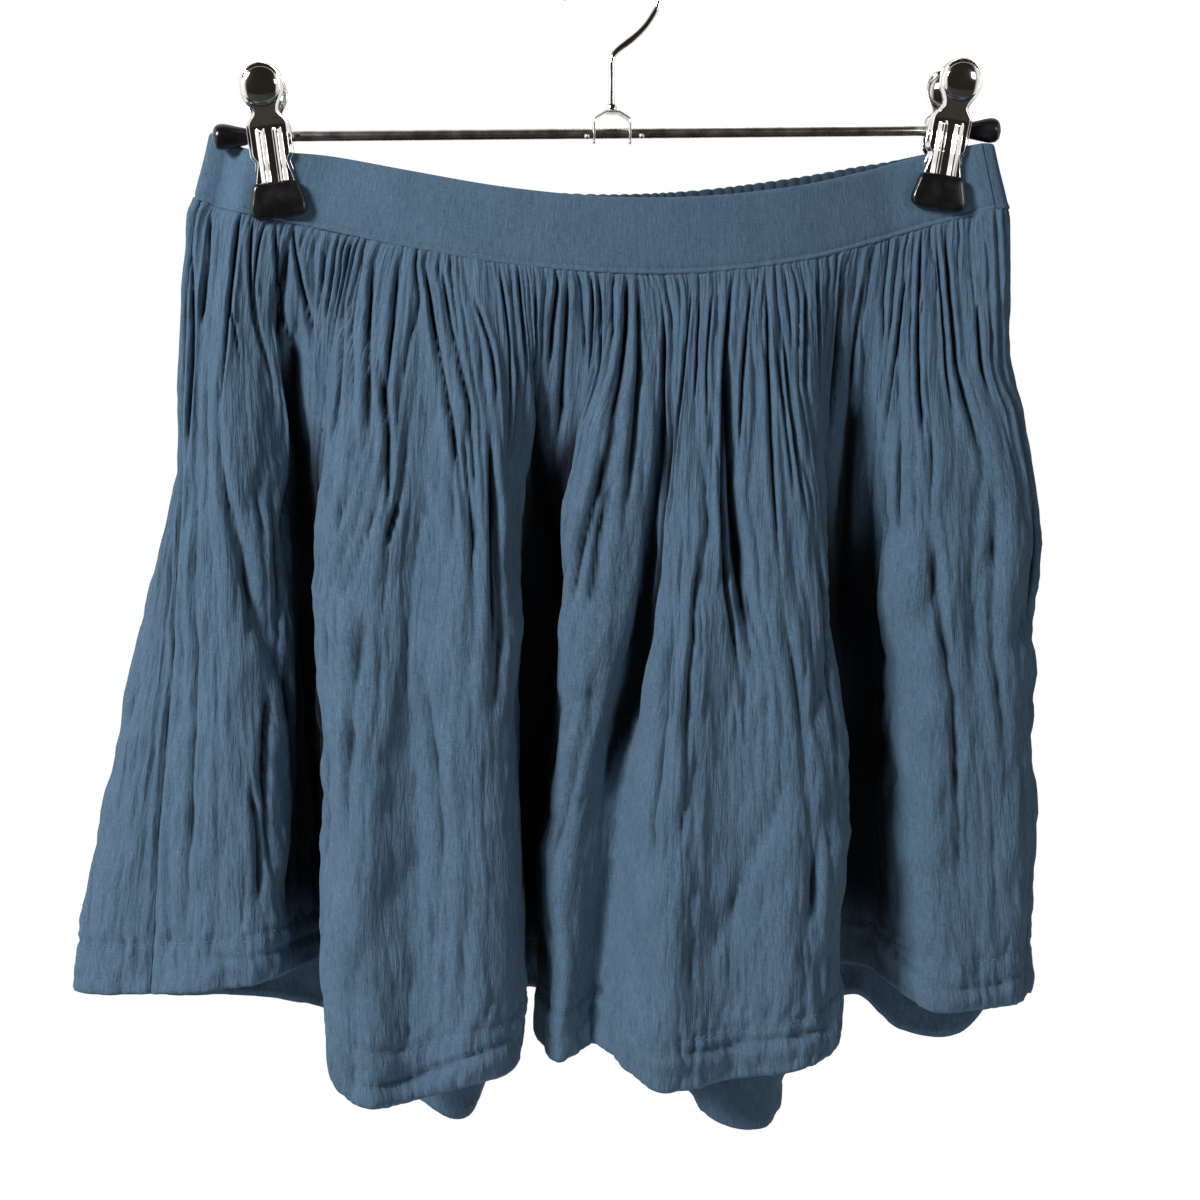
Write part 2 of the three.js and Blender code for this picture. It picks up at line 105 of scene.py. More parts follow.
BACK_FOLDS = [
    (-178, -12, -400, 6), (-196, -9, -401, 13), (-208, 3, -402, 15), (-199, 19, -404, 10),
    (-172, 24, -409, 4), (-150, 34, -412, 0), (-128, 40, -416, 0), (-108, 32, -420, 0),
    (-88, 24, -434, 0), (-72, 8, -450, 0), (-58, 4, -455, 0), (-50, 20, -440, 0),
    (-42, 38, -416, 0), (-24, 46, -409, 0), (-4, 40, -414, 0), (14, 42, -424, 0),
    (33, 24, -446, 0), (42, 6, -459, 0), (62, 4, -461, 0), (70, 22, -446, 0),
    (84, 38, -424, 0), (106, 42, -418, 0), (122, 30, -430, 0), (142, 24, -431, 0),
    (158, 24, -417, 0), (169, 10, -411, 2), (167, -3, -408, 2),
]

# The main creases of the front: where each starts and ends, across and down the cloth, how far it
# bows to the right, its depth, which is below 0 for a ridge, and its half width.
FRONT_CREASES = [
    (38, 1, 30, 74, 3, 3.0, 2.3), (37, 36, 47, 56, 0, 1.8, 1.7), (48, 2, 69, 62, -3, 2.3, 2.1),
    (57, 2, 64, 46, -4, 1.9, 1.9), (65, 2, 88, 52, 0, 2.3, 2.1), (78, 2, 97, 44, 2, 2.2, 2.1),
    (1, 20, 2, 104, 5, 1.8, 2.4), (10, 3, 9, 50, 4, 1.6, 2.4),
    (102, 8, 97, 36, 2, 1.2, 1.6), (121, 4, 116, 50, 4, 2.0, 1.8), (114, 54, 102, 104, 0, 1.6, 2.2),
    (128, 26, 139, 80, 6, 1.8, 2.0), (112, 15, 105, 36, 0, 1.4, 1.6), (134, 6, 141, 40, 0, 1.2, 1.6),
    (142, 8, 156, 70, 3, 1.8, 2.0), (153, 34, 166, 98, 4, 1.9, 2.2), (158, 6, 161, 62, 1, 1.7, 1.8),
    (171, 92, 166, 106, 0, 2.2, 2.6), (177, 6, 204, 100, 4, 2.2, 2.2), (189, 6, 208, 62, 0, 2.2, 2.2),
    (203, 68, 207, 108, 0, 1.8, 2.2), (210, 16, 220, 54, 4, 1.9, 2.0), (229, 4, 228, 82, 6, 1.9, 2.0),
    (243, 4, 251, 44, 0, 1.6, 1.8), (216, 68, 213, 150, 1, 2.8, 2.8), (257, 10, 268, 50, -2, 1.6, 1.8),
    (274, 3, 274, 40, 0, 1.7, 1.8), (280, 5, 281, 76, 0, 2.1, 2.0), (298, 4, 304, 88, -1, 2.4, 2.2),
    (304, 6, 311, 70, 4, 1.6, 1.8), (325, 2, 328, 64, 0, 2.8, 2.6), (329, 56, 320, 135, 2, 2.0, 2.2),
    (331, 76, 327, 130, 0, 1.8, 2.0), (331, 5, 335, 98, 2, 2.0, 2.0), (348, 16, 343, 150, 0, 3.2, 3.0),
    (373, 6, 361, 90, -4, 1.9, 1.9), (379, 12, 377, 50, 0, 1.5, 1.7), (389, 10, 388, 54, -2, 1.5, 1.7),
    (404, 4, 413, 160, -8, 3.0, 3.0), (419, 6, 411, 72, -2, 1.9, 1.9), (430, 6, 430, 115, -2, 1.9, 2.0),
    (440, 28, 447, 98, -2, 2.0, 2.0), (434, 30, 440, 90, 0, 1.4, 1.8), (460, 14, 453, 48, 0, 2.0, 2.2),
    (470, 8, 469, 46, 2, 1.9, 1.9), (492, 6, 498, 80, 4, 2.4, 2.6), (512, 12, 511, 74, -2, 1.9, 2.0),
    (545, 14, 532, 84, 1, 1.7, 1.9), (555, 6, 561, 90, -2, 2.1, 2.0), (567, 8, 577, 76, 2, 1.8, 1.8),
    (574, 8, 586, 92, 1, 2.0, 1.9), (594, 36, 596, 68, 0, 1.4, 1.8), (546, 82, 546, 120, 0, 1.6, 2.0),
    (12, 150, 14, 282, 3, 1.4, 3.0), (60, 110, 58, 190, 3, 1.0, 3.2), (84, 150, 80, 240, -3, 1.0, 3.0),
    (140, 150, 134, 250, 3, 1.2, 3.4), (160, 130, 152, 215, 0, 1.2, 3.0), (186, 150, 190, 262, 5, 1.2, 3.4),
    (222, 150, 232, 270, 4, 1.4, 3.4), (330, 150, 322, 240, 0, 1.4, 3.0), (368, 120, 366, 230, 3, 1.2, 3.2),
    (388, 100, 386, 200, -3, 1.2, 3.0), (430, 130, 440, 262, 4, 1.3, 3.4), (455, 110, 452, 205, 0, 1.2, 3.0),
    (530, 110, 526, 236, 4, 1.2, 3.4), (560, 110, 572, 250, 4, 1.3, 3.4), (590, 100, 592, 220, -3, 1.1, 3.0),
    (352, 48, 338, 208, 3, 5.0, 8.0), (403, 34, 417, 150, -3, 4.2, 6.0), (218, 80, 214, 170, 2, 2.6, 4.5),
    (87, 40, 90, 130, 0, 4.6, 7.5), (262, 38, 288, 145, 4, 5.2, 8.0), (512, 60, 510, 170, 0, 5.0, 11.0),
    (104, 170, 98, 300, 2, -6.5, 9.0), (112, 130, 110, 300, -3, -2.2, 4.0), (104, 160, 101, 290, 3, 2.4, 2.6),
    (30, 96, 62, 190, 0, 1.8, 7.0), (76, 8, 89, 96, -2, 3.6, 6.0), (44, 226, 46, 275, 2, 2.2, 2.6),
    (54, 190, 52, 262, -3, 2.6, 2.8), (63, 180, 60, 280, 3, 3.0, 3.0), (72, 176, 70, 282, -2, 3.0, 3.0),
    (81, 170, 80, 284, 2, 3.0, 3.2),
]
# Where the turned-up hem folds across: four places, across and down, its depth and its half height.
FRONT_HEM_FOLDS = [
    ((148, 284), (168, 285), (192, 288.5), (208, 289.5), 0.8, 1.8),
    ((155, 298), (180, 297), (199, 294.5), (220, 292), 2.2, 2.6),
    ((338, 281), (361, 288), (374, 287), (392, 288), 1.0, 1.8),
    ((372, 288.5), (405, 291.5), (432, 291), (450, 293), 2.0, 2.2),
    ((540, 288), (568, 296), (585, 296), (600, 292), 1.5, 2.2),
    ((20, 291), (45, 294), (70, 293), (95, 296), 0.8, 2.2),
]
BACK_HEM_FOLDS = [
    ((60, 292), (90, 295), (115, 293), (140, 290), 1.2, 2.2),
    ((230, 286), (262, 292), (290, 293), (318, 289), 1.4, 2.2),
    ((396, 291), (420, 295), (450, 294), (476, 290), 1.2, 2.2),
]
# The main creases of the back, in the same columns as the front's.
BACK_CREASES = [
    (22, 4, 28, 96, 3, 2.0, 2.2), (46, 4, 40, 70, -2, 1.9, 2.0), (64, 6, 70, 120, 3, 2.2, 2.4),
    (88, 3, 84, 64, 1, 1.8, 1.9), (104, 10, 112, 100, -2, 2.1, 2.1), (131, 4, 126, 150, 4, 2.6, 2.8),
    (149, 4, 154, 62, 1, 1.7, 1.9), (163, 8, 160, 110, -3, 2.0, 2.1), (184, 3, 190, 84, 2, 2.2, 2.1),
    (201, 6, 196, 58, 0, 1.7, 1.8), (214, 4, 222, 132, 4, 2.5, 2.6), (238, 6, 232, 76, -2, 1.9, 2.0),
    (256, 4, 262, 98, 2, 2.1, 2.1), (271, 8, 268, 54, 1, 1.6, 1.8), (288, 3, 282, 118, -4, 2.4, 2.4),
    (309, 5, 316, 70, 2, 1.9, 2.0), (328, 4, 322, 102, 1, 2.1, 2.1), (347, 8, 352, 64, -2, 1.7, 1.8),
    (364, 4, 358, 136, 3, 2.5, 2.6), (386, 5, 392, 82, 2, 2.0, 2.0), (402, 4, 398, 60, 0, 1.7, 1.8),
    (421, 6, 428, 112, -3, 2.2, 2.3), (444, 4, 440, 74, 2, 1.9, 1.9), (462, 5, 468, 126, 3, 2.4, 2.4),
    (482, 6, 478, 66, -1, 1.8, 1.9), (503, 4, 508, 92, 2, 2.0, 2.1), (60, 140, 66, 250, 3, 1.2, 3.2),
    (118, 150, 110, 262, -3, 1.3, 3.4), (176, 130, 182, 236, 3, 1.2, 3.2), (250, 140, 244, 258, 3, 1.3, 3.4),
    (330, 130, 336, 244, -3, 1.2, 3.2), (410, 140, 404, 262, 3, 1.3, 3.4), (470, 150, 478, 250, 2, 1.2, 3.2),
]

# How far the edges of the folds stray to the right on the way down: the place across, how far it
# reaches either way, and pairs of distance down and millimetres.
LEFT_SEAM = (0, 34, (0, -0.4), (5, -2.6), (12, -3.6), (32, -4.6), (60, -3.9), (83, -3.1), (110, -0.9),
             (145, 0.4), (177, 1.6), (240, 1.5), (305, 1))
RIGHT_SEAM = (0, 34, (0, -0.5), (12, -1.5), (35, -3.6), (57, -6), (66, -4.5), (78, -1), (108, 2.4),
              (125, 2.2), (155, -2.4), (180, -2.2), (210, -2.5), (260, -3), (305, -2))
FRONT_SWAYS = [
    (66, 18, (0, 0), (40, 0), (80, 6), (100, 8), (150, 8), (200, 6), (240, 4), (275, 0)),
    (142, 16, (0, 0), (60, -2), (109, -2.5), (136, -2), (163, 1), (190, 4), (218, 5.5), (232, 5),
     (250, 1.5), (275, 0)),
    (236, 18, (0, 0), (60, -3), (90, -5), (117, -5), (144, -3), (171, -6), (198, -5), (225, -3.5),
     (276, -1.5), (305, -1)),
    (278, 18, (0, 0), (60, -3), (90, -6), (225, -5), (276, -2), (305, -1)),
    (318, 16, (0, 0), (40, -3), (60, -8), (90, -12), (103, -11.5), (130, -8), (158, -6.5), (171, -4.5),
     (198, -4), (212, -6), (225, -7), (239, -6), (276, -3), (305, -2)),
    (465, 16, (0, 0), (118, 1), (158, 1.5), (186, 3.5), (213, 5), (227, 4), (240, 1.5), (254, -1), (280, -4),
     (305, -3)),
    (548, 18, (0, 0), (80, -2), (118, -2.5), (145, -5), (172, -4.5), (186, -3), (200, -4.3), (254, -4.5),
     (285, -3), (305, -2)),
]
BACK_SWAYS = [
    (120, 24, (0, 0), (80, 3), (150, -2), (230, 2), (305, 0)),
    (260, 24, (0, 0), (70, -3), (140, 3), (220, -2), (305, 0)),
    (400, 24, (0, 0), (90, 3), (160, -3), (240, 2), (305, 0)),
]

PANELS = {
    "front": {"side": -1, "waist": FRONT_WAIST, "folds": FRONT_FOLDS, "creases": FRONT_CREASES,
              "hem_folds": FRONT_HEM_FOLDS, "sways": FRONT_SWAYS, "seed": 11,
              "columns": 800, "band_columns": 520, "cut_length": 305},
    "back": {"side": 1, "waist": BACK_WAIST, "folds": BACK_FOLDS, "creases": BACK_CREASES,
             "hem_folds": BACK_HEM_FOLDS, "sways": BACK_SWAYS, "seed": 47,
             "columns": 720, "band_columns": 700, "cut_length": 325},
}


# ---- Curves and noise ----
def smooth_step(low, high, value):
    """0 below low and 1 above high, with an S curve between."""
    t = np.clip((value - low) / (high - low), 0, 1)
    return t * t * (3 - 2 * t)


def unit(vectors):
    return vectors / np.linalg.norm(vectors, axis=-1, keepdims=True)


def spline(rows, places):
    """Catmull-Rom curve through rows, read at places counted in rows. Beyond each end it takes the
    mirror of the last point but one."""
    points = np.array(rows, float)
    last = len(points) - 1
    i = np.clip(np.floor(places).astype(int), 0, last - 1)
    f = (places - i)[:, None]
    a, b = points[i], points[i + 1]
    before = np.where((i == 0)[:, None], 2 * a - b, points[np.clip(i - 1, 0, last)])
    after = np.where((i == last - 1)[:, None], 2 * b - a, points[np.clip(i + 2, 0, last)])
    return 0.5 * (2 * a + (b - before) * f + (2 * before - 5 * a + 4 * b - after) * f**2
                  + (3 * a - before - 3 * b + after) * f**3)


class Track:
    """A table read as a smooth curve, by the share of its length in plan."""

    def __init__(self, rows):
        steps = 40
        self.points = spline(rows, np.linspace(0, len(rows) - 1, (len(rows) - 1) * steps + 1))
        run = np.hypot(*np.diff(self.points[:, :2], axis=0).T)
        self.lengths = np.concatenate([[0], np.cumsum(run)])
        self.total = self.lengths[-1]

    def at(self, share):
        wanted = share * self.total
        return np.stack([np.interp(wanted, self.lengths, column) for column in self.points.T], -1)


def waves(u, v, seed):
    """Smooth random heights from -1 to 1: a lattice of random numbers, blended by quintic steps."""
    size = 256
    lattice = np.random.default_rng(seed).uniform(-1, 1, (size, size))
    column = np.floor(u).astype(int)
    row = np.floor(v).astype(int)
    fu, fv = u - column, v - row
    fu = fu**3 * (fu * (fu * 6 - 15) + 10)
    fv = fv**3 * (fv * (fv * 6 - 15) + 10)

    def corner(i, j):
        return lattice[(column + i) % size, (row + j) % size]

    low = corner(0, 0) * (1 - fu) + corner(1, 0) * fu
    high = corner(0, 1) * (1 - fu) + corner(1, 1) * fu
    return low * (1 - fv) + high * fv


# ---- The cloth's form ----
def panel_points(waist, hem, across, down):
    """A panel's middle surface. Each thread runs from the waist seam to the same share of the hem's
    length: it sweeps out by 1 - (1 - down)^2, opens into folds by 1 - (1 - down)^1.8, and bows by
    sin(pi down^0.7)."""
    top = waist.at(across)[None]
    foot = hem.at(across)[None]
    v = down[:, None]
    inside = np.clip(v, 0, 1)
    spread = 1 - (1 - inside)**2
    opening = (1 - (1 - inside)**1.8) * np.sqrt(np.clip(inside / 0.06, 0, 1))
    bulge = np.sin(np.pi * inside**0.7)
    x = top[..., 0] + (foot[..., 0] - top[..., 0]) * spread + foot[..., 3] * bulge
    y = top[..., 1] + (foot[..., 1] - top[..., 1]) * opening
    z = top[..., 2] - SEAM_GAP + (foot[..., 2] - top[..., 2] + SEAM_GAP) * v
    return np.stack([x, y, z], -1)


def band_points(waist, across, up):
    """The waistband's middle surface: up from the seam along a line that leans out with x."""
    seam = waist.at(across)[None]
    lean = -BAND_LEAN * (seam[..., 0] - BAND_MIDDLE)
    rise = seam[..., 3] * up[:, None]
    x = seam[..., 0] + lean * rise
    y = seam[..., 1] + 0 * rise
    z = seam[..., 2] + np.sqrt(1 - lean**2) * rise
    return np.stack([x, y, z], -1)


def grid_normals(grid, side):
    """Unit vectors square to a grid: the cross product of its steps to the right and down, times side."""
    return unit(np.cross(np.gradient(grid, axis=1), np.gradient(grid, axis=0)) * side)


def gathers(t, h, pitch, seed, wander, sharpness):
    """Rolls side by side, round on top with a sharp valley between: |cos(pi phase)|^sharpness, where
    the phase is t / pitch with slow and quick random drifts."""
    phase = t / pitch + wander * waves(t / (4 * pitch), h / 120, seed)
    phase += 0.42 * wander * waves(t / (1.3 * pitch), h / 75, seed + 1)
    return np.abs(np.cos(np.pi * phase))**sharpness


def crease_line(h, from_w, from_h, to_w, to_h, bow):
    """How far across a crease lies at each distance down: a straight line, bowed by a parabola."""
    along = np.clip((h - from_h) / (to_h - from_h), 0, 1)
    return from_w + (to_w - from_w) * along + bow * 4 * along * (1 - along)


def thread_place(w, h, creases, seed):
    """Which thread of the waist runs through each place. The threads stray with the main creases:
    near a crease as far as it has strayed itself, blended by distance in between. They also waver."""
    reach_across, reach_down = 9, 35
    strayed = np.zeros_like(w)
    total = np.full_like(w, 0.06)
    for from_w, from_h, to_w, to_h, bow, _, _ in creases:
        line = crease_line(h, from_w, from_h, to_w, to_h, bow)
        beyond = np.maximum(0, np.maximum(from_h - h, h - to_h))
        weight = np.exp(-((w - line) / reach_across)**2 - (beyond / reach_down)**2)
        strayed += weight * (line - from_w)
        total += weight
    t = w - strayed / total
    t += 5 * smooth_step(60, 170, h) * waves(w / 48, h / 90, seed + 15)
    t += 2.0 * waves(t / 17, h / 22, seed + 16) + 1.0 * waves(t / 9, h / 8, seed + 17)
    return t + 2.2 * np.exp(-(h / 4.5)**2) * waves(w / 11, 0 * h, seed + 18)


def crease_relief(w, h, creases):
    """Valleys along bowed lines: each takes 1.45 depth (1 - |distance| / width)^1.5 off, fading
    in and out at its ends, with a soft roll raised on either side."""
    relief = np.zeros_like(w)
    for from_w, from_h, to_w, to_h, bow, depth, width in creases:
        t = (h - from_h) / (to_h - from_h)
        share = depth * smooth_step(-0.06, 0.14, t) * (1 - smooth_step(0.72, 1.1, t))
        off = np.abs(w - crease_line(h, from_w, from_h, to_w, to_h, bow)) / width
        relief -= 1.45 * share * np.clip(1 - off, 0, 1)**1.5
        relief += 0.3 * share * np.exp(-((off - 1.6) / 0.9)**2)
    return relief


def hem_folds(w, h, folds):
    """Valleys that run across the hem along a curve through four places, as (1 - |distance| / half)^1.3,
    with the cloth bulging below each. They fade out at their ends."""
    relief = np.zeros_like(w)
    for *places, depth, half in folds:
        across, down = np.array(places, float).T
        below = h - np.interp(w, across, down)
        fade = smooth_step(-8, 10, w - across[0]) * smooth_step(-8, 10, across[-1] - w)
        relief -= depth * fade * np.clip(1 - np.abs(below) / half, 0, 1)**1.3
        relief += 0.75 * depth * fade * np.exp(-((below - 2 * half) / (1.4 * half))**2)
    return relief


def sway(w, h, width, sways):
    """How far each place stands to the right of the panel's plain form: the tables' distances, each
    fading as exp(-(distance / reach)^2) to either side of its line."""
    shift = np.zeros_like(w)
    for place, reach, *steps in [LEFT_SEAM, (width, *RIGHT_SEAM[1:]), *sways]:
        shift += np.interp(h, *zip(*steps)) * np.exp(-((w - place) / reach)**2)
    return shift


# Crumples made of valleys between round rolls: height, length across and down, slant across and down,
# the distances down between which they set in, and the number added to the panel's seed.
CRUMPLES = [
    (1.6, 19, 80, 0, 0, 50, 160, 7), (3.2, 26, 47, 0.2, 0, 60, 140, 19), (1.1, 11, 18, 0.3, 0.3, 70, 170, 23),
]


def valleys(u, v, seed, sharpness, mean):
    """|waves|^sharpness less its mean: sharp valleys between round rolls."""
    return np.abs(waves(u, v, seed))**sharpness - mean


def gather_relief(h, t, squeeze, edge, seed):
    """Tight gathers at the waist that merge into broader, softer ones lower down. They are lower where
    the threads are squeezed together and towards the side seams."""
    lively = (0.78 + 0.55 * waves(t / 9, h / 75, seed + 2)) * (0.5 + 0.5 * smooth_step(8, 45, edge))
    lively /= np.clip(squeeze, 0.9, 3)**1.4
    reach = 135 + 60 * waves(t / 11, h / 300, seed + 1)
    tight = (0.6 + 0.4 * smooth_step(0, 6, h)) * np.exp(-(h / reach)**2)
    middle = smooth_step(30, 100, h) * (1 - 0.8 * smooth_step(110, 210, h))
    relief = 3.1 * lively * tight * (gathers(t, h, 8.4, seed + 3, 0.9, 0.38) - 0.8)
    relief += 1.1 * np.exp(-(h / 8)**2) * (gathers(t, h, 4.2, seed + 4, 0.9, 0.5) - 0.76)
    return relief + 1.9 * middle * (gathers(t, h, 15.5, seed + 5, 1.0, 0.5) - 0.76)


def crinkle_relief(w, h, t, calm, seed):
    """Crumples over the lower cloth and fine lengthwise crinkles all over. The finer ones are less
    where the threads are squeezed or slanted, by calm."""
    relief = np.zeros_like(w)
    for height, across, down, slant, turn, low, high, number in CRUMPLES:
        share = height * smooth_step(low, high, h) * (calm if turn else 1)
        relief += share * valleys((t + slant * h) / across, (h - turn * t) / down, seed + number, 0.8, 0.42)
    soft = calm * smooth_step(4, 30, h)
    down = 25 - 9 * smooth_step(80, 160, h)
    relief += (0.6 + 0.8 * smooth_step(80, 180, h)) * soft * valleys(t / 5.4, h / down, seed + 9, 0.65, 0.5)
    relief += 0.75 * soft * valleys(t / 2.8, h / 9, seed + 14, 0.8, 0.4)
    return relief + 0.2 * waves(w / 2, h / 9, seed + 10)


def hem_relief(w, h, seed):
    """A groove along the hem's stitches with slanted puckers, soft waves below it, and a lower edge
    rounded over the last 1.2 mm."""
    below = h - STITCH_LINE
    slanted = waves((w + 0.5 * below) / 4.2, below / 16, seed + 12)
    relief = 0.7 * np.exp(-(below / 7)**2) * slanted - 0.9 * np.exp(-(below / 1.2)**2)
    relief += 0.35 * smooth_step(0, 4, below) * waves((w - 0.4 * below) / 7, below / 20, seed + 13)
    over = np.clip((h - SKIRT_LENGTH + PANEL_WALL) / PANEL_WALL, 0, 1)
    return relief - 0.8 * (1 - np.sqrt(1 - over**2))


def panel_relief(panel, w, h, t):
    """How far the cloth stands off its middle surface: gathers, crinkles, the main creases, the hem, and
    a roll along each side seam."""
    seed = panel["seed"]
    edge = np.minimum(w, w[0, -1] - w)
    squeeze = np.gradient(t, axis=1) / (w[0, 1] - w[0, 0])
    slant = np.gradient(t, axis=0) / np.gradient(h, axis=0)
    calm = 1 / (np.clip(squeeze, 1, 3)**1.2 * (1 + (slant / 0.45)**2))
    relief = gather_relief(h, t, squeeze, edge, seed) + crinkle_relief(w, h, t, calm, seed)
    relief += crease_relief(w, h, panel["creases"]) + hem_relief(w, h, seed)
    relief += hem_folds(w, h, panel["hem_folds"])
    relief *= smooth_step(-2.5, 4, edge)
    for height, place, half in ((0.9, 3.2, 1.8), (-0.35, 0, 1.2), (0.6, 9, 1.8)):
        relief += height * np.exp(-((edge - place) / half)**2)
    return relief * (0.35 + 0.65 * smooth_step(0, 3, h)) + 0.8 * np.exp(-(h / 14)**2)


def painted_shade_in_folds(relief, w, middle, side):
    """Painted shade for the cloth's colour, from 0 to 1: how little light reaches the cloth. It grows where
    the relief lies below its mean over 4 mm or 15 mm either way, and where the folds to the left and right
    leave a narrow angle open."""
    step = w[0, 1] - w[0, 0]
    sunk = np.zeros_like(w)
    for reach, low, high, most in ((4, 0.3, 1.7, 0.93), (15, 1.6, 4.2, 0.97)):
        below = box_mean(relief, round(reach / step)) - relief
        sunk = np.maximum(sunk, most * smooth_step(low, high, below))
    out = middle[..., 1] * side
    steep_left = np.zeros_like(out)
    steep_right = np.zeros_like(out)
    for shift in range(4, round(90 / step), 4):
        rise = out[:, :-shift] - out[:, shift:]
        run = np.abs(middle[:, shift:, 0] - middle[:, :-shift, 0]) + 1.5
        steep_left[:, shift:] = np.maximum(steep_left[:, shift:], rise / run)
        steep_right[:, :-shift] = np.maximum(steep_right[:, :-shift], -rise / run)
    shut = (np.arctan(steep_left) + np.arctan(steep_right)) / np.pi
    return 1 - (1 - sunk) * (1 - 0.96 * smooth_step(0.46, 0.61, shut))


def box_mean(values, reach):
    """The mean over reach columns either way."""
    total = np.cumsum(np.insert(values, 0, 0, 1), 1)
    columns = np.arange(values.shape[1])
    low = np.maximum(columns - reach, 0)
    high = np.minimum(columns + reach + 1, len(columns))
    return (total[:, high] - total[:, low]) / (high - low)


def lowest_nearby(values, reach):
    """The least value within reach grid steps, so that the inside never comes through the outside."""
    for step in range(1, reach + 1):
        for axis in (0, 1):
            values = np.minimum(values, np.minimum(np.roll(values, step, axis), np.roll(values, -step, axis)))
    return values


# ---- Meshes ----
def add_object(name, vertices, faces, uv=None, flat_faces=None, painted_shade=None):
    """A mesh object from points in millimetres and faces, turned to face outwards."""
    mesh = bpy.data.meshes.new(name)
    mesh.from_pydata((np.asarray(vertices, float) * MM).tolist(), [], faces)
    solid = bmesh.new()
    solid.from_mesh(mesh)
    if solid.calc_volume(signed=True) < 0:
        mesh.flip_normals()
    solid.free()
    smooth = np.ones(len(mesh.polygons), bool)
    if flat_faces is not None:
        smooth[flat_faces] = False
    mesh.polygons.foreach_set("use_smooth", smooth)
    if uv is not None:
        layer = mesh.uv_layers.new(name="cloth")
        corner = np.empty(len(mesh.loops), int)
        mesh.loops.foreach_get("vertex_index", corner)
        layer.data.foreach_set("uv", np.asarray(uv, np.float32)[corner].ravel())
    # Painted shade: a point attribute that the cloth's material reads to darken its colour
    if painted_shade is not None:
        layer = mesh.attributes.new("painted_shade", "FLOAT", "POINT")
        values = np.zeros(len(mesh.vertices), np.float32)
        values[:painted_shade.size] = painted_shade.ravel()
        layer.data.foreach_set("value", values)
    mesh.update()
    piece = bpy.data.objects.new(name, mesh)
    bpy.context.scene.collection.objects.link(piece)
    return piece


def quads(rows, columns, start=0, wrap=False):
    """The faces of a grid of points counted row by row from start. wrap joins its last column to its
    first."""
    r = np.arange(rows - 1)[:, None]
    c = np.arange(columns if wrap else columns - 1)[None]
    after = (c + 1) % columns
    corners = [r * columns + c, (r + 1) * columns + c, (r + 1) * columns + after, r * columns + after]
    return (np.stack(corners, -1).reshape(-1, 4) + start).tolist()


def shell(name, outer, inner, uv_outer=None, uv_inner=None, painted_shade=None):
    """A closed sheet between an outer grid and an inner one, which has every point of the outer grid
    or every second one. The four edges are closed by a strip of flat faces."""
    rows, columns = outer.shape[:2]
    thin_rows, thin_columns = inner.shape[:2]
    step = (columns - 1) // (thin_columns - 1)
    start = rows * columns
    faces = quads(rows, columns)
    faces += [face[::-1] for face in quads(thin_rows, thin_columns, start)]
    flat_from = len(faces)

    def strip(outside, inside, turned):
        for k in range(len(inside) - 1):
            run = [int(p) for p in outside[k * step:(k + 1) * step + 1]]
            face = run + [int(inside[k + 1]), int(inside[k])]
            faces.append(face[::-1] if turned else face)

    grid = np.arange(rows * columns).reshape(rows, columns)
    thin = np.arange(thin_rows * thin_columns).reshape(thin_rows, thin_columns) + start
    strip(grid[0], thin[0], False)
    strip(grid[-1], thin[-1], True)
    strip(grid[:, 0], thin[:, 0], True)
    strip(grid[:, -1], thin[:, -1], False)
    uv = None
    if uv_outer is not None:
        uv = np.concatenate([uv_outer.reshape(-1, 2), uv_inner.reshape(-1, 2)])
    vertices = np.concatenate([outer.reshape(-1, 3), inner.reshape(-1, 3)])
    return add_object(name, vertices, faces, uv, slice(flat_from, None), painted_shade)


def tube_faces(places, around):
    """The faces of a closed tube, counted place by place, with its two caps last."""
    last = (places - 1) * around
    return quads(places, around, wrap=True) + [list(range(around)), list(range(last, last + around))[::-1]]


def loop_tube(name, grid, uv=None, painted_shade=None):
    """A closed tube from a grid of loops[place][point], with flat caps."""
    faces = tube_faces(*grid.shape[:2])
    return add_object(name, grid.reshape(-1, 3), faces, uv, slice(len(faces) - 2, None), painted_shade)


# ---- Materials ----
def new_material(name):
    material = bpy.data.materials.new(name)
    material.use_nodes = True
    tree = material.node_tree
    return material, tree, tree.nodes["Principled BSDF"]


def node(tree, kind, **settings):
    made = tree.nodes.new(kind)
    for key, value in settings.items():
        setattr(made, key, value)
    return made


def join(tree, start, end):
    tree.links.new(start, end)


def put(tree, socket, value):
    """Joins a socket to another one, or gives it a constant."""
    if isinstance(value, bpy.types.NodeSocket):
        join(tree, value, socket)
    else:
        socket.default_value = value


def math_node(tree, operation, *values):
    made = node(tree, "ShaderNodeMath", operation=operation)
    for socket, value in zip(made.inputs, values):
        put(tree, socket, value)
    return made.outputs[0]


def weighted_sum(tree, *pairs, base=0.0):
    """base plus each pair's value times its weight."""
    for value, weight in pairs:
        base = math_node(tree, "MULTIPLY_ADD", value, weight, base)
    return base


def noise(tree, vector, scale, stretch=(1, 1, 1), detail=2.0, roughness=0.5):
    """A noise texture whose coordinates are first multiplied by stretch."""
    mapping = node(tree, "ShaderNodeMapping")
    mapping.inputs["Scale"].default_value = stretch
    join(tree, vector, mapping.inputs["Vector"])
    texture = node(tree, "ShaderNodeTexNoise")
    for key, value in (("Scale", scale), ("Detail", detail), ("Roughness", roughness)):
        texture.inputs[key].default_value = value
    join(tree, mapping.outputs["Vector"], texture.inputs["Vector"])
    return texture.outputs["Fac"]


def valley(tree, value):
    """The distance of a noise from its middle, which makes sharp valleys between soft rolls."""
    return math_node(tree, "ABSOLUTE", math_node(tree, "SUBTRACT", value, 0.5))


def ramp(tree, value, low, high):
    """value stretched so that low gives 0 and high gives 1."""
    made = node(tree, "ShaderNodeMapRange")
    for key, given in (("From Min", low), ("From Max", high), ("Value", value)):
        put(tree, made.inputs[key], given)
    return made.outputs["Result"]


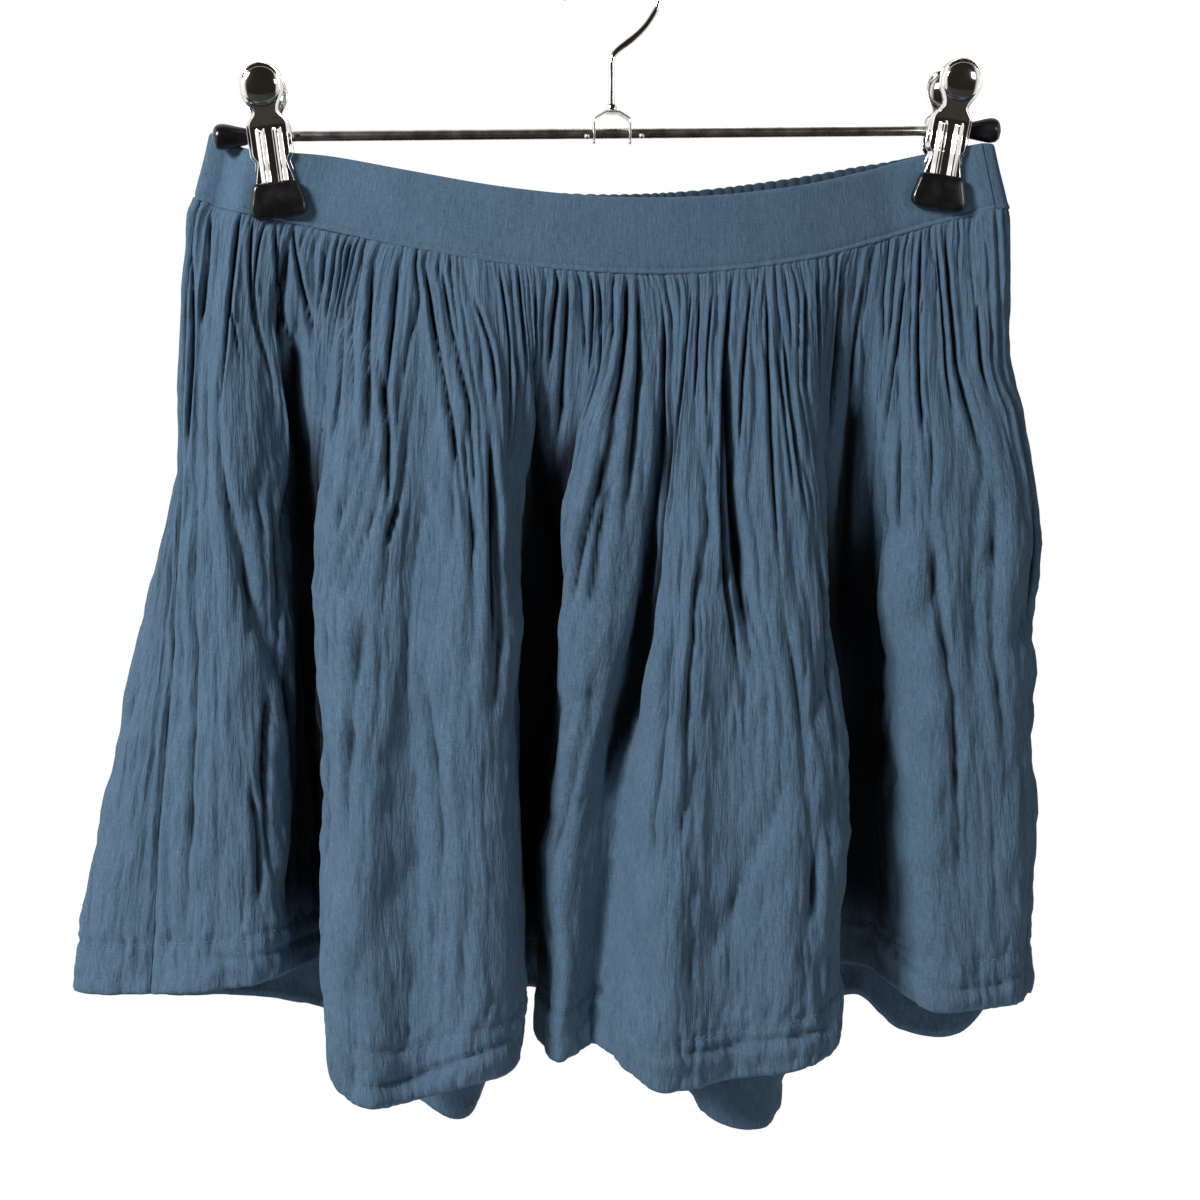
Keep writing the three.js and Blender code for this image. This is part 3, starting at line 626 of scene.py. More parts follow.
def colour_mix(tree, share, first, second):
    """A colour between first and second, which are sockets or colours."""
    made = node(tree, "ShaderNodeMix", data_type="RGBA")
    for plug, value in zip((made.inputs[0], made.inputs[6], made.inputs[7]), (share, first, second)):
        put(tree, plug, value)
    return made.outputs[2]


def bump(tree, shader, height, strength, distance):
    """Lets a height turn the shader's normal."""
    relief = node(tree, "ShaderNodeBump")
    for key, value in (("Strength", strength), ("Distance", distance), ("Height", height)):
        put(tree, relief.inputs[key], value)
    join(tree, relief.outputs["Normal"], shader.inputs["Normal"])


def new_group(name, inputs, outputs):
    """A shader node group with named sockets, and its input and output nodes."""
    tree = bpy.data.node_groups.new(name, "ShaderNodeTree")
    for label, kind, value in inputs:
        socket = tree.interface.new_socket(label, in_out="INPUT", socket_type=f"NodeSocket{kind}")
        if value is not None:
            socket.default_value = value
    for label, kind in outputs:
        tree.interface.new_socket(label, in_out="OUTPUT", socket_type=f"NodeSocket{kind}")
    return tree, node(tree, "NodeGroupInput"), node(tree, "NodeGroupOutput")


def gauze_group():
    """Crinkled double gauze: uneven threads both ways, slubs, pale fluff on the surface, and the fine
    lengthwise crinkle, with painted shade that darkens the colour towards black by the shade input. The
    vector is in metres of cloth, across and down."""
    tree, given, result = new_group(
        "Crinkled gauze",
        [("Vector", "Vector", None), ("Deep", "Color", (0.05, 0.09, 0.13, 1)),
         ("Pale", "Color", (0.13, 0.19, 0.26, 1)), ("Crinkle", "Float", 1.0), ("PaintedShade", "Float", 0.0)],
        [("Color", "Color"), ("Height", "Float"), ("Roughness", "Float")])
    plug = given.outputs
    lengthwise = noise(tree, plug["Vector"], 1.0, (2600, 230, 1))
    crosswise = noise(tree, plug["Vector"], 1.0, (260, 2300, 1))
    grain = noise(tree, plug["Vector"], 1100.0, detail=3.0, roughness=0.65)
    blotch = noise(tree, plug["Vector"], 90.0, (1, 0.5, 1), 3.0)
    broad = valley(tree, noise(tree, plug["Vector"], 1.0, (270, 45, 1), 2.0, 0.55))
    fine = valley(tree, noise(tree, plug["Vector"], 1.0, (640, 150, 1), 2.0, 0.6))
    threads = weighted_sum(tree, (lengthwise, 1.35), (crosswise, 0.65))
    tone = weighted_sum(tree, (threads, 0.275), (grain, 0.3), (blotch, 0.15))
    colour = colour_mix(tree, ramp(tree, tone, 0.36, 0.64), plug["Deep"], plug["Pale"])
    # Painted shade: the colour is mixed towards near black as far as the shade input says little light
    # reaches
    unlit = (0.002, 0.003, 0.005, 1)
    join(tree, colour_mix(tree, plug["PaintedShade"], colour, unlit), result.inputs["Color"])
    crinkle = weighted_sum(tree, (broad, 2.2), (fine, 0.6))
    height = weighted_sum(tree, (crinkle, plug["Crinkle"]), (threads, 0.16), (grain, 0.1))
    join(tree, height, result.inputs["Height"])
    join(tree, weighted_sum(tree, (grain, 0.2), base=0.78), result.inputs["Roughness"])


def metal_group():
    """Plating with faint smudges in its colour and gloss and slight unevenness. The vector is in metres."""
    tree, given, result = new_group(
        "Bright plating",
        [("Vector", "Vector", None), ("Metal", "Color", (0.8, 0.8, 0.8, 1)), ("Dull", "Float", 0.06)],
        [("Color", "Color"), ("Roughness", "Float"), ("Height", "Float")])
    plug = given.outputs
    smudge = noise(tree, plug["Vector"], 160.0, detail=3.0)
    scratch = noise(tree, plug["Vector"], 1.0, (5000, 5000, 300))
    wave = noise(tree, plug["Vector"], 90.0, detail=1.0)
    shade = colour_mix(tree, ramp(tree, smudge, 0.3, 0.7), plug["Metal"], (0.9, 0.88, 0.85, 1))
    join(tree, shade, result.inputs["Color"])
    rough = weighted_sum(tree, (ramp(tree, smudge, 0.35, 0.75), 0.06), (scratch, 0.03), base=plug["Dull"])
    join(tree, rough, result.inputs["Roughness"])
    join(tree, weighted_sum(tree, (scratch, 0.02), base=wave), result.inputs["Height"])


def group_material(name, group, vector, inputs):
    """A material whose colour and roughness come from a group, read by the cloth's UV or by Object
    coordinates."""
    _, tree, shader = new_material(name)
    if vector == "UV":
        place = node(tree, "ShaderNodeUVMap", uv_map="cloth")
    else:
        place = node(tree, "ShaderNodeTexCoord")
    look = node(tree, "ShaderNodeGroup", node_tree=bpy.data.node_groups[group])
    join(tree, place.outputs[vector], look.inputs["Vector"])
    for key, value in inputs.items():
        look.inputs[key].default_value = value
    join(tree, look.outputs["Color"], shader.inputs["Base Color"])
    join(tree, look.outputs["Roughness"], shader.inputs["Roughness"])
    return tree, shader, look


def cloth_material(name, deep, pale, crinkle, depth):
    tree, shader, weave = group_material(
        name, "Crinkled gauze", "UV", {"Deep": (*deep, 1), "Pale": (*pale, 1), "Crinkle": crinkle})
    # Painted shade: the piece's point attribute darkens the colour in deep folds and on the waistbands'
    # insides
    painted_shade = node(tree, "ShaderNodeAttribute", attribute_name="painted_shade")
    join(tree, painted_shade.outputs["Fac"], weave.inputs["PaintedShade"])
    bump(tree, shader, weave.outputs["Height"], strength=1.0, distance=depth)
    shader.inputs["Specular IOR Level"].default_value = 0.12
    shader.inputs["Sheen Weight"].default_value = 0.08
    shader.inputs["Sheen Roughness"].default_value = 0.6
    shader.inputs["Sheen Tint"].default_value = (0.55, 0.68, 0.8, 1)


def metal_material(name, colour, dull):
    tree, shader, plating = group_material(
        name, "Bright plating", "Object", {"Metal": (*colour, 1), "Dull": dull})
    bump(tree, shader, plating.outputs["Height"], strength=0.05, distance=0.0003)
    shader.inputs["Metallic"].default_value = 1.0


def rubber_material(name, colour):
    """Dipped rubber: a smooth skin with a faint grain, dust in patches."""
    _, tree, shader = new_material(name)
    place = node(tree, "ShaderNodeTexCoord").outputs["Object"]
    grain = noise(tree, place, 900.0, detail=3.0)
    dust = ramp(tree, noise(tree, place, 140.0, detail=3.0), 0.45, 0.8)
    pale = tuple(min(1.0, c * 2.2 + 0.006) for c in colour)
    join(tree, colour_mix(tree, dust, (*colour, 1), (*pale, 1)), shader.inputs["Base Color"])
    join(tree, weighted_sum(tree, (dust, 0.12), base=0.2), shader.inputs["Roughness"])
    bump(tree, shader, grain, strength=0.3, distance=0.0001)


def thread_material(name, colour):
    """Matt sewing thread, a little uneven in colour."""
    _, tree, shader = new_material(name)
    tone = ramp(tree, noise(tree, node(tree, "ShaderNodeTexCoord").outputs["Object"], 600.0), 0.3, 0.7)
    darker = tuple(c * 0.7 for c in colour)
    join(tree, colour_mix(tree, tone, (*darker, 1), (*colour, 1)), shader.inputs["Base Color"])
    shader.inputs["Roughness"].default_value = 0.8


# ---- Properties ----
class SkirtSettings(bpy.types.PropertyGroup):
    """Sizes and colours of the cloth."""

    deep: bpy.props.FloatVectorProperty(
        name="Deep blue", description="The darker threads of the gauze", subtype="COLOR", size=3,
        default=(0.040, 0.078, 0.123), min=0, max=1)
    pale: bpy.props.FloatVectorProperty(
        name="Pale blue", description="The lighter threads of the gauze", subtype="COLOR", size=3,
        default=(0.104, 0.172, 0.252), min=0, max=1)
    cloth_thickness: bpy.props.FloatProperty(
        name="Cloth thickness", description="Thickness of the two layers of gauze",
        default=0.0007, min=0.0003, max=0.002, unit="LENGTH")
    stitch_length: bpy.props.FloatProperty(
        name="Stitch length", description="Length of one stitch of the seams",
        default=0.0028, min=0.001, max=0.006, unit="LENGTH")


class HangerSettings(bpy.types.PropertyGroup):
    """Finishes of the hanger."""

    chrome: bpy.props.FloatVectorProperty(
        name="Chrome", description="The plated clips and hook", subtype="COLOR", size=3,
        default=(0.74, 0.73, 0.72), min=0, max=1)
    rod: bpy.props.FloatVectorProperty(
        name="Rod", description="The duller plated rod", subtype="COLOR", size=3,
        default=(0.42, 0.39, 0.35), min=0, max=1)
    rubber: bpy.props.FloatVectorProperty(
        name="Rubber", description="The caps and the jaw pads", subtype="COLOR", size=3,
        default=(0.006, 0.006, 0.007), min=0, max=1)


# ---- The cloth's pieces ----
class ClothGrid:
    """A panel's outside and inside, worked out once and used by the panel, its hem and its stitches."""

    def __init__(self, panel, thickness):
        self.waist = Track(panel["waist"])
        self.hem = Track(panel["folds"])
        self.width = self.hem.total
        across = np.linspace(0, 1, panel["columns"] + 1)
        down = panel_rows() / SKIRT_LENGTH
        self.w, self.h = np.meshgrid(across * self.width, down * SKIRT_LENGTH)
        thread = thread_place(self.w, self.h, panel["creases"], panel["seed"])
        self.middle = panel_points(self.waist, self.hem, across, down)
        self.middle[..., 0] += sway(self.w, self.h, self.width, panel["sways"])
        self.normals = grid_normals(self.middle, panel["side"])
        self.relief = panel_relief(panel, self.w, self.h, thread)
        # Painted shade: how far the cloth's colour is darkened where little light reaches it
        self.painted_shade = painted_shade_in_folds(self.relief, self.w, self.middle, panel["side"])
        self.painted_shade = self.painted_shade * (1 - 0.55 * smooth_step(266, 290, self.h))  # light comes in under the hem
        self.outer = self.middle + self.normals * (self.relief + thickness / 2)[..., None]
        self.low = lowest_nearby(self.relief, 2) - thickness / 2

    def inside(self, first_row, gap):
        """Every second point, gap further in than the lowest point near by."""
        part = (slice(first_row, None, 2), slice(None, None, 2))
        return self.middle[part] + self.normals[part] * (self.low[part] - gap)[..., None]

    def uv(self, first_row, step):
        part = (slice(first_row, None, step), slice(None, None, step))
        return np.stack([self.w[part], self.h[part]], -1) * MM


def panel_rows():
    """Distances down the cloth: close together at the waist and the hem, wider in the middle."""
    top = np.linspace(0, 30, 17)
    hem = np.linspace(276, SKIRT_LENGTH, 19)
    return np.concatenate([top, np.linspace(30, 276, 59)[1:-1], hem])


CLOTH = {}


def cloth_of(name):
    if name not in CLOTH:
        CLOTH[name] = ClothGrid(PANELS[name], bpy.context.scene.skirt.cloth_thickness / MM)
    return CLOTH[name]


def finish_piece(piece, material, slot, *nodes):
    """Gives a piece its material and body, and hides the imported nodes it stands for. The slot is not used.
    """
    piece.data.materials.append(bpy.data.materials[material])
    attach(piece, "root")
    if nodes:
        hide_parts(*nodes)


class SKIRT_OT_panel(bpy.types.Operator):
    """Builds the front and back panels"""

    bl_idname = "skirt.panel"
    bl_label = "Panels"

    def execute(self, context):
        for name in PANELS:
            cloth = cloth_of(name)
            piece = shell(f"{name}_gauze", cloth.outer, cloth.inside(0, 0.0), cloth.uv(0, 1), cloth.uv(0, 2),
                          cloth.painted_shade)
            finish_piece(piece, "crinkled gauze", "gauze", f"{name}_panel")
        return {"FINISHED"}


class SKIRT_OT_hem(bpy.types.Operator):
    """Builds the turned-up hems, which follow the inside of their panels"""

    bl_idname = "skirt.hem"
    bl_label = "Hems"

    def execute(self, context):
        for name in PANELS:
            cloth = cloth_of(name)
            first = int(np.argmin(np.abs(cloth.h[:, 0] - (SKIRT_LENGTH - HEM_DEPTH))))
            first -= first % 2
            uv = cloth.uv(first, 2)
            piece = shell(f"{name}_hem_turn", cloth.inside(first, HEM_GAP),
                          cloth.inside(first, HEM_GAP + HEM_WALL), uv, uv)
            finish_piece(piece, "crinkled gauze", "gauze", f"{name}_hem")
        return {"FINISHED"}


BAND_GROOVE = 8  # the row of the front waistband's profile in which its stitches lie
# The front waistband runs on round the left edge, where its seam is out of sight.
BAND_ROWS = {"front": BACK_WAIST[2:0:-1] + FRONT_WAIST, "back": BACK_WAIST[2:]}
# From the seam up the outside, over the top and down the inside: share of the height, and offset.
BAND_PROFILES = {
    "front": [
        (0.012, 0.0), (0.0, 0.5), (-0.02, 0.8), (-0.026, 1.15), (-0.014, 1.45), (0.004, 1.62), (0.02, 1.5),
        (0.032, 1.05), (0.045, 0.72), (0.06, 0.8), (0.09, 0.95), (0.13, 1.0), (0.18, 1.02), (0.24, 1.02),
        (0.3, 1.0), (0.38, 1.0), (0.46, 1.0), (0.54, 1.0), (0.62, 1.0), (0.7, 1.0), (0.78, 1.0), (0.86, 1.0),
        (0.92, 1.0), (0.955, 0.96), (0.98, 0.82), (0.994, 0.5), (1.0, 0.0), (0.994, -0.5), (0.98, -0.82),
        (0.955, -0.96), (0.9, -1.0), (0.75, -1.0), (0.6, -1.0), (0.45, -1.0), (0.3, -1.0), (0.15, -1.0),
        (0.05, -1.0), (0.02, -0.85), (0.012, -0.5),
    ],
    "back": [
        (0.012, 0.0), (0.0, 0.5), (-0.02, 0.8), (-0.026, 1.15), (0.0, 1.4), (0.04, 1.2), (0.08, 1.05),
        (0.12, 1.0), (0.16, 1.05), (0.2, 0.7), (0.24, 1.05), (0.29, 1.15), (0.35, 1.2), (0.41, 1.15),
        (0.46, 0.7), (0.51, 1.15), (0.57, 1.2), (0.63, 1.15), (0.68, 1.05), (0.72, 0.7), (0.76, 1.05),
        (0.82, 1.15), (0.88, 1.15), (0.93, 1.1), (0.965, 0.95), (0.99, 0.55), (1.0, 0.0), (0.99, -0.5),
        (0.965, -0.85), (0.93, -0.95), (0.85, -1.0), (0.72, -0.8), (0.6, -1.0), (0.46, -0.8), (0.3, -1.0),
        (0.2, -0.8), (0.1, -1.0), (0.03, -0.85), (0.012, -0.5),
    ],
}


def band_grid(name, across):
    """The waistband's profile carried along the waist seam, with slow waves, and small puckers near
    the seam on the front or ruching all over on the back. Its last 30 mm at each end turn flat."""
    panel = PANELS[name]
    waist = Track(BAND_ROWS[name])
    height, bulge = np.array(BAND_PROFILES[name]).T[:, :, None]
    seed = panel["seed"] + 20
    points = band_points(waist, across, height[:, 0])
    normals = grid_normals(band_points(waist, across, np.array([1.0, 0.0])), panel["side"])[:1]
    w = (across * waist.total)[None] + 0 * height
    s = BAND_HEIGHT * height + 0 * w
    facing = np.clip(bulge, -1, 1)
    free = pad_clearance(points[..., 0])
    ends = smooth_step(8, 30, np.minimum(w, waist.total - w))
    outside = (bulge > 0.6) & (height > 0.06) & (height < 0.95)
    plain = np.where(outside, 1.0, bulge)
    offset = plain + ends * (bulge - plain) + 0.35 * free * waves(w / 26, s / 22, seed)
    if name == "front":
        puckers = np.exp(-s / 3.5) * waves(w / 2.2, s / 5, seed + 1)
        offset = offset + 0.22 * np.clip(facing, 0, 1) * puckers
    else:
        phase = w / 4.4 + 0.8 * waves(w / 16, s / 40, seed + 2)
        ruche = ends * (np.abs(np.cos(np.pi * phase))**0.8 - 0.7)
        offset = offset + 1.1 * free * facing * ruche
        points = points + np.array([0, 0, 0.5]) * (free * ruche * (s > 26))[..., None]
    return points + normals * offset[..., None], np.stack([w, s], -1), normals[0]


def pad_clearance(x):
    """1 where the waistband is free, down to 0 under the jaw pads."""
    left_pad, right_pad = -127, 126
    return smooth_step(12, 20, np.minimum(np.abs(x - left_pad), np.abs(x - right_pad)))


class SKIRT_OT_waistband(bpy.types.Operator):
    """Builds the flat front waistband and the ruched back one"""

    bl_idname = "skirt.waistband"
    bl_label = "Waistbands"

    def execute(self, context):
        for name, panel in PANELS.items():
            inset = BAND_GAP / Track(BAND_ROWS[name]).total
            across = inset + (1 - 2 * inset) * np.linspace(0, 1, panel["band_columns"] + 1)
            grid, uv, _ = band_grid(name, across)
            # Painted shade: the waistband's inside faces get 0.6 of the darkening that the cloth's material
            # paints
            shade = np.where(np.array(BAND_PROFILES[name])[:, 1] < 0, 0.6, 0.0)  # the inside is darker
            piece = loop_tube(
                f"{name}_band", grid.transpose(1, 0, 2), (uv * MM).transpose(1, 0, 2).reshape(-1, 2),
                np.repeat(shade[None], len(across), axis=0))
            finish_piece(piece, "folded gauze", "band", f"{name}_waistband")
        return {"FINISHED"}


def stitch_row(centres, along, outward, length, radius):
    """Small thread loops: a tube of 6 sides bent into a low arch, tapered at both ends, at each centre."""
    rings, sides = 5, 6
    centres, along, outward = (vectors[:, None, None] for vectors in (centres, along, outward))
    place = np.linspace(-1, 1, rings)[:, None, None]
    angle = np.linspace(0, 2 * np.pi, sides, endpoint=False)[:, None]
    girth = radius * np.sqrt(np.clip(1 - place**4, 0.05, 1))
    arch = radius * 1.1 * (1 - place**2) - radius * 0.3
    vertices = (centres + along * place * length / 2 + outward * (arch + np.sin(angle) * girth)
                + np.cross(along, outward) * np.cos(angle) * girth)
    faces = [[corner + stitch * rings * sides for corner in face]
             for stitch in range(len(centres)) for face in tube_faces(rings, sides)]
    return vertices.reshape(-1, 3), faces


def line_stitches(points, normals, pitch, length, radius, lift, painted_shade=None):
    """Stitches set out along a line of points at a pitch, lying along it on the side of normals, with
    none where the cloth is drawn deep into a fold."""
    run = np.concatenate([[0], np.cumsum(np.linalg.norm(np.diff(points, axis=0), axis=1))])

    def read(values, places):
        return np.stack([np.interp(places, run, column) for column in values.T], -1)

    stops = np.arange(pitch, run[-1] - pitch, pitch)
    if painted_shade is not None:
        stops = stops[np.interp(stops, run, painted_shade) < 0.5]
    near = 0.4 * pitch
    along = unit(read(points, stops + near) - read(points, stops - near))
    outward = unit(read(normals, stops))
    outward = unit(outward - along * np.sum(along * outward, axis=1, keepdims=True))
    return stitch_row(read(points, stops) + outward * lift, along, outward, length, radius)


class SKIRT_OT_stitching(bpy.types.Operator):
    """Builds the stitches along the waistband and the hems"""

    bl_idname = "skirt.stitching"
    bl_label = "Stitching"

    def execute(self, context):
        length = context.scene.skirt.stitch_length / MM
        for name in PANELS:
            cloth = cloth_of(name)
            row = int(np.argmin(np.abs(cloth.h[:, 0] - STITCH_LINE)))
            vertices, faces = line_stitches(
                cloth.outer[row], cloth.normals[row], pitch=1.25 * length, length=0.8 * length, radius=0.2,
                lift=0.02, painted_shade=cloth.painted_shade[row])
            finish_piece(add_object(f"{name}_hem_stitches", vertices, faces), "sewing thread", "gauze")
        grid, _, normals = band_grid("front", np.linspace(0.004, 0.996, 521))
        vertices, faces = line_stitches(
            grid[BAND_GROOVE], normals, pitch=length, length=length * 0.75, radius=0.14, lift=0.0)
        finish_piece(add_object("front_band_stitches", vertices, faces), "sewing thread", "band")
        return {"FINISHED"}


# ---- The hanger's pieces ----
def wire_tube(name, path, radius, sides):
    """A round wire along a path in the plane y = 0, with a round cap at each end: rings of radius r
    square to the path, shrinking by the cosine of the angle over each end."""
    tangent = unit(np.gradient(path, axis=0))
    up = np.array([0.0, 1.0, 0.0])
    cross = np.cross(tangent, up)
    turns = np.linspace(0, np.pi / 2, 7)[1:]
    start = path[0] - tangent[0] * (radius * np.sin(turns))[::-1, None]
    end = path[-1] + tangent[-1] * (radius * np.sin(turns))[:, None]
    spine = np.concatenate([start, path, end])
    side = np.concatenate([np.repeat(cross[:1], 6, 0), cross, np.repeat(cross[-1:], 6, 0)])
    girth = np.concatenate([np.cos(turns)[::-1], np.ones(len(path)), np.cos(turns)]) * radius
    girth = np.maximum(girth, radius * 0.03)
    angles = np.linspace(0, 2 * np.pi, sides, endpoint=False)
    ring = side[:, None] * np.cos(angles)[None, :, None] + up * np.sin(angles)[None, :, None]
    return loop_tube(name, spine[:, None] + ring * girth[:, None, None])


def on_rod(x, y, z):
    """Points given along the rod and square to it, turned to its tilt and put at its level."""
    cos, sin = math.cos(ROD_TILT), math.sin(ROD_TILT)
    return np.stack([x * cos - z * sin, y + 0 * x, x * sin + z * cos + ROD_Z], -1)


def turned(profile, axis, sides):
    """A turned part: each (place, radius) of a profile becomes a ring round the upright axis Z, or
    round the rod's axis X."""
    place, radius = np.array(profile, float).T[:, :, None]
    angles = np.linspace(0, 2 * np.pi, sides, endpoint=False)
    place = place + 0 * angles
    a, b = radius * np.cos(angles), radius * np.sin(angles)
    return np.stack([a, b, place], -1) if axis == "Z" else on_rod(place, a, b)


def hollow_turned(name, profile, axis="X", sides=64):
    """A turned ring with a bore: the profile closes on itself."""
    faces = np.array(quads(len(profile) + 1, sides, wrap=True)) % (len(profile) * sides)
    return add_object(name, turned(profile, axis, sides).reshape(-1, 3), faces.tolist())


def solid_turned(name, profile, sides=64):
    """A solid turned round the rod's axis, whose ends are closed by small flat discs."""
    return loop_tube(name, turned(profile, "X", sides))


def corner_arc(before, here, after, reach, count):
    """A corner rounded between the points at reach before and after it, as count points of a parabola."""
    start, stop = here + unit(before - here) * reach, here + unit(after - here) * reach
    t = np.linspace(0, 1, count)[:, None]
    return (1 - t)**2 * start + 2 * t * (1 - t) * here + t**2 * stop


def rounded(profile, radius):
    """A closed profile of (place, radius) corners, each rounded with 4 short chords."""
    points = np.array(profile, float)
    arcs = []
    for before, here, after in zip(np.roll(points, 1, 0), points, np.roll(points, -1, 0)):
        sides = np.linalg.norm([before - here, after - here], axis=1)
        arcs.append(corner_arc(before, here, after, min(radius, *(0.45 * sides)), 5))
    return np.concatenate(arcs)


# The hook's stem and swan neck, x and z, up to where its arc begins.
HOOK_STEM = [
    (0, -64), (0, -60), (0, -56), (0, -52), (0, -48.5), (0, -45.8), (0.5, -43.5), (1.9, -41.6), (3.7, -40),
    (6, -38.2), (8.5, -36.3), (11, -34.1), (13.2, -31.7), (15.1, -29), (16.6, -26.3), (17.6, -23.6),
]
WIRE_RADIUS = 1.35
HOOK_RADIUS = 17.7
HOOK_HALF_WIDTH = 18.8
COLLAR_FOOT = -64.1


def hook_path():
    """The hook's wire: up the stem, out along the swan neck, and round the arc, whose inside top is at 0."""
    angles = np.radians(np.arange(-13, 205, 14))
    height = WIRE_RADIUS - HOOK_RADIUS + HOOK_RADIUS * np.sin(angles)
    arc = np.stack([HOOK_HALF_WIDTH * np.cos(angles), 0 * angles, height], -1)
    rows = np.concatenate([[(x, 0, z) for x, z in HOOK_STEM], arc])
    return spline(rows, np.linspace(0, len(rows) - 1, 261))


class SKIRT_OT_hook(bpy.types.Operator):
    """Builds the hook, its collar and the stirrup that it stands in"""

    bl_idname = "skirt.hook"
    bl_label = "Hook and stirrup"

    def execute(self, context):
        wire = wire_tube("hook_wire", hook_path(), WIRE_RADIUS, sides=40)
        finish_piece(wire, "bright plating", "chrome", "hook")
        collar = [(0, 1.65), (0, 2.15), (0.5, 2.3), (1.8, 2.2), (2.4, 1.9), (2.4, 1.65)]
        collar = rounded([(COLLAR_FOOT + up, radius) for up, radius in collar], 0.35)
        beads = hollow_turned("hook_beads", collar, axis="Z", sides=48)
        finish_piece(beads, "bright plating", "chrome", "hook_collar")
        finish_piece(stirrup_strip(), "satin plating", "chrome", "stirrup")
        return {"FINISHED"}


# Half of the stirrup's strip, x and z, from its foot to its middle.
STIRRUP_HALF = [
    (6.9, -76.4), (6.9, -71.5), (6.85, -68), (6.4, -67), (3.1, -65), (2.2, -64.65), (0, -64.65),
]


def stirrup_strip():
    """A strip bent over the rod in the plane y = 0, with rounded edges and both feet rounded off: each
    section is |cos|^0.35 wide and |sin|^0.5 thick."""
    places, half_width, half_thickness = 97, 3.5, 0.5
    half = np.array(STIRRUP_HALF)
    line = np.concatenate([half, (half * [-1, 1])[::-1][1:]])
    rows = np.stack([line[:, 0], 0 * line[:, 0], line[:, 1]], -1)
    path = spline(rows, np.linspace(0, len(rows) - 1, places))
    cross = np.cross(unit(np.gradient(path, axis=0)), [0.0, 1.0, 0.0])
    from_foot = np.minimum(np.arange(places), np.arange(places)[::-1])
    width = half_width * np.sqrt(np.clip(from_foot / 14, 0.16, 1))
    angles = np.linspace(0, 2 * np.pi, 20, endpoint=False)
    wide = np.sign(np.cos(angles)) * np.abs(np.cos(angles))**0.35
    thin = np.sign(np.sin(angles)) * np.abs(np.sin(angles))**0.5 * half_thickness
    grid = (path[:, None] + np.array([0, 1.0, 0]) * (width[:, None] * wide)[..., None]
            + cross[:, None] * thin[None, :, None])
    return loop_tube("stirrup_strip", grid)


def rod_pin(name, x):
    """A small round-headed pin on the rod, low on its front: rings of radius 1 mm shrinking over a dome."""
    turns = np.linspace(0, np.pi / 2, 9)
    profile = [(2.35, 0.03), (2.35, 0.9), (2.45, 1.0)]
    profile += [(2.55 + 0.8 * math.sin(a), max(math.cos(a), 0.03)) for a in turns]
    out, radius = np.array(profile).T[:, :, None]
    angles = np.linspace(0, 2 * np.pi, 32, endpoint=False)
    across = radius * np.sin(angles)
    low = math.radians(32)
    y = -out * math.cos(low) - across * math.sin(low)
    z = -out * math.sin(low) + across * math.cos(low)
    return loop_tube(name, on_rod(x + radius * np.cos(angles), y, z))


# The rod's half profile, x and radius, and a cap's: how far back from its tip, and radius.
ROD_PROFILE = [
    (-148, 0.05), (-148, 1.7), (-147.7, 2), (-100, 2), (-50, 2), (0, 2), (50, 2), (100, 2), (147.2, 2),
    (147.5, 1.7), (147.5, 0.05),
]
CAP_PROFILE = [
    (0, 0.05), (0.05, 1.6), (0.3, 2.8), (0.8, 3.8), (1.5, 4.4), (2.4, 4.75), (3.4, 4.85), (4.6, 4.8),
    (6, 4.55), (8, 4.1), (10, 3.65), (12, 3.25), (12.7, 3.1), (13, 2.85), (13, 2.3), (12.6, 2.3), (3.4, 2.3),
    (3.3, 2.2), (3.3, 0.05),
]
CAP_END = 3.0  # how far a cap's tip stands beyond the rod's end


class SKIRT_OT_rod(bpy.types.Operator):
    """Builds the rod, its two pins and its rubber caps"""

    bl_idname = "skirt.rod"
    bl_label = "Rod"

    def execute(self, context):
        finish_piece(solid_turned("rod_tube", ROD_PROFILE, sides=72), "dull plating", "chrome", "rod")
        for name, pin_at, rod_end, way in (("left", -9.7, -148.0, -1), ("right", 11.2, 147.5, 1)):
            pin = rod_pin(f"{name}_stud", pin_at)
            finish_piece(pin, "satin plating", "chrome", f"rod_stud_{name}")
            tip = rod_end + way * CAP_END
            cap = solid_turned(f"{name}_cap", [(tip - way * back, radius) for back, radius in CAP_PROFILE])
            finish_piece(cap, "dipped rubber", "rubber", f"rod_cap_{name}")
        return {"FINISHED"}


# The clips: name, x on the rod, and how far each leans to the left at its foot, in degrees.
CLIPS = [("left", -129.6, 7.2), ("right", 129.6, -8.6)]
BARREL_PROFILE = [(-7.5, 2.3), (-7.5, 4.6), (7.5, 4.6), (7.5, 2.3)]  # along the rod, and radius
# One leg of a clip, down from its thumb disc: how far below the rod, half its width, and how far its
# middle stands in front of the rod.
LEG_ROWS = [
    (-25.3, 0.6, 15.2), (-25.1, 2.0, 15.2), (-24.3, 4.5, 15.1), (-22.7, 6.5, 14.9), (-20.4, 7.8, 14.6),
    (-17.1, 8.25, 14.2), (-14.4, 7.85, 13.8), (-12.2, 6.9, 13.2), (-10.5, 5.9, 12.4), (-9.0, 5.3, 11.4),
    (-7.6, 5.3, 10.3), (-6.2, 6.2, 9.3), (-5.0, 7.4, 8.3), (-3.6, 8.1, 7.4), (-1.6, 8.2, 6.6), (1, 8.2, 6.2),
    (4, 8.2, 6.1), (7.2, 8.15, 6), (8.6, 7.5, 5.95), (9.8, 6.75, 5.9), (11.6, 6.9, 5.7), (14, 7.5, 5.4),
    (18.2, 8.5, 5.2),
]


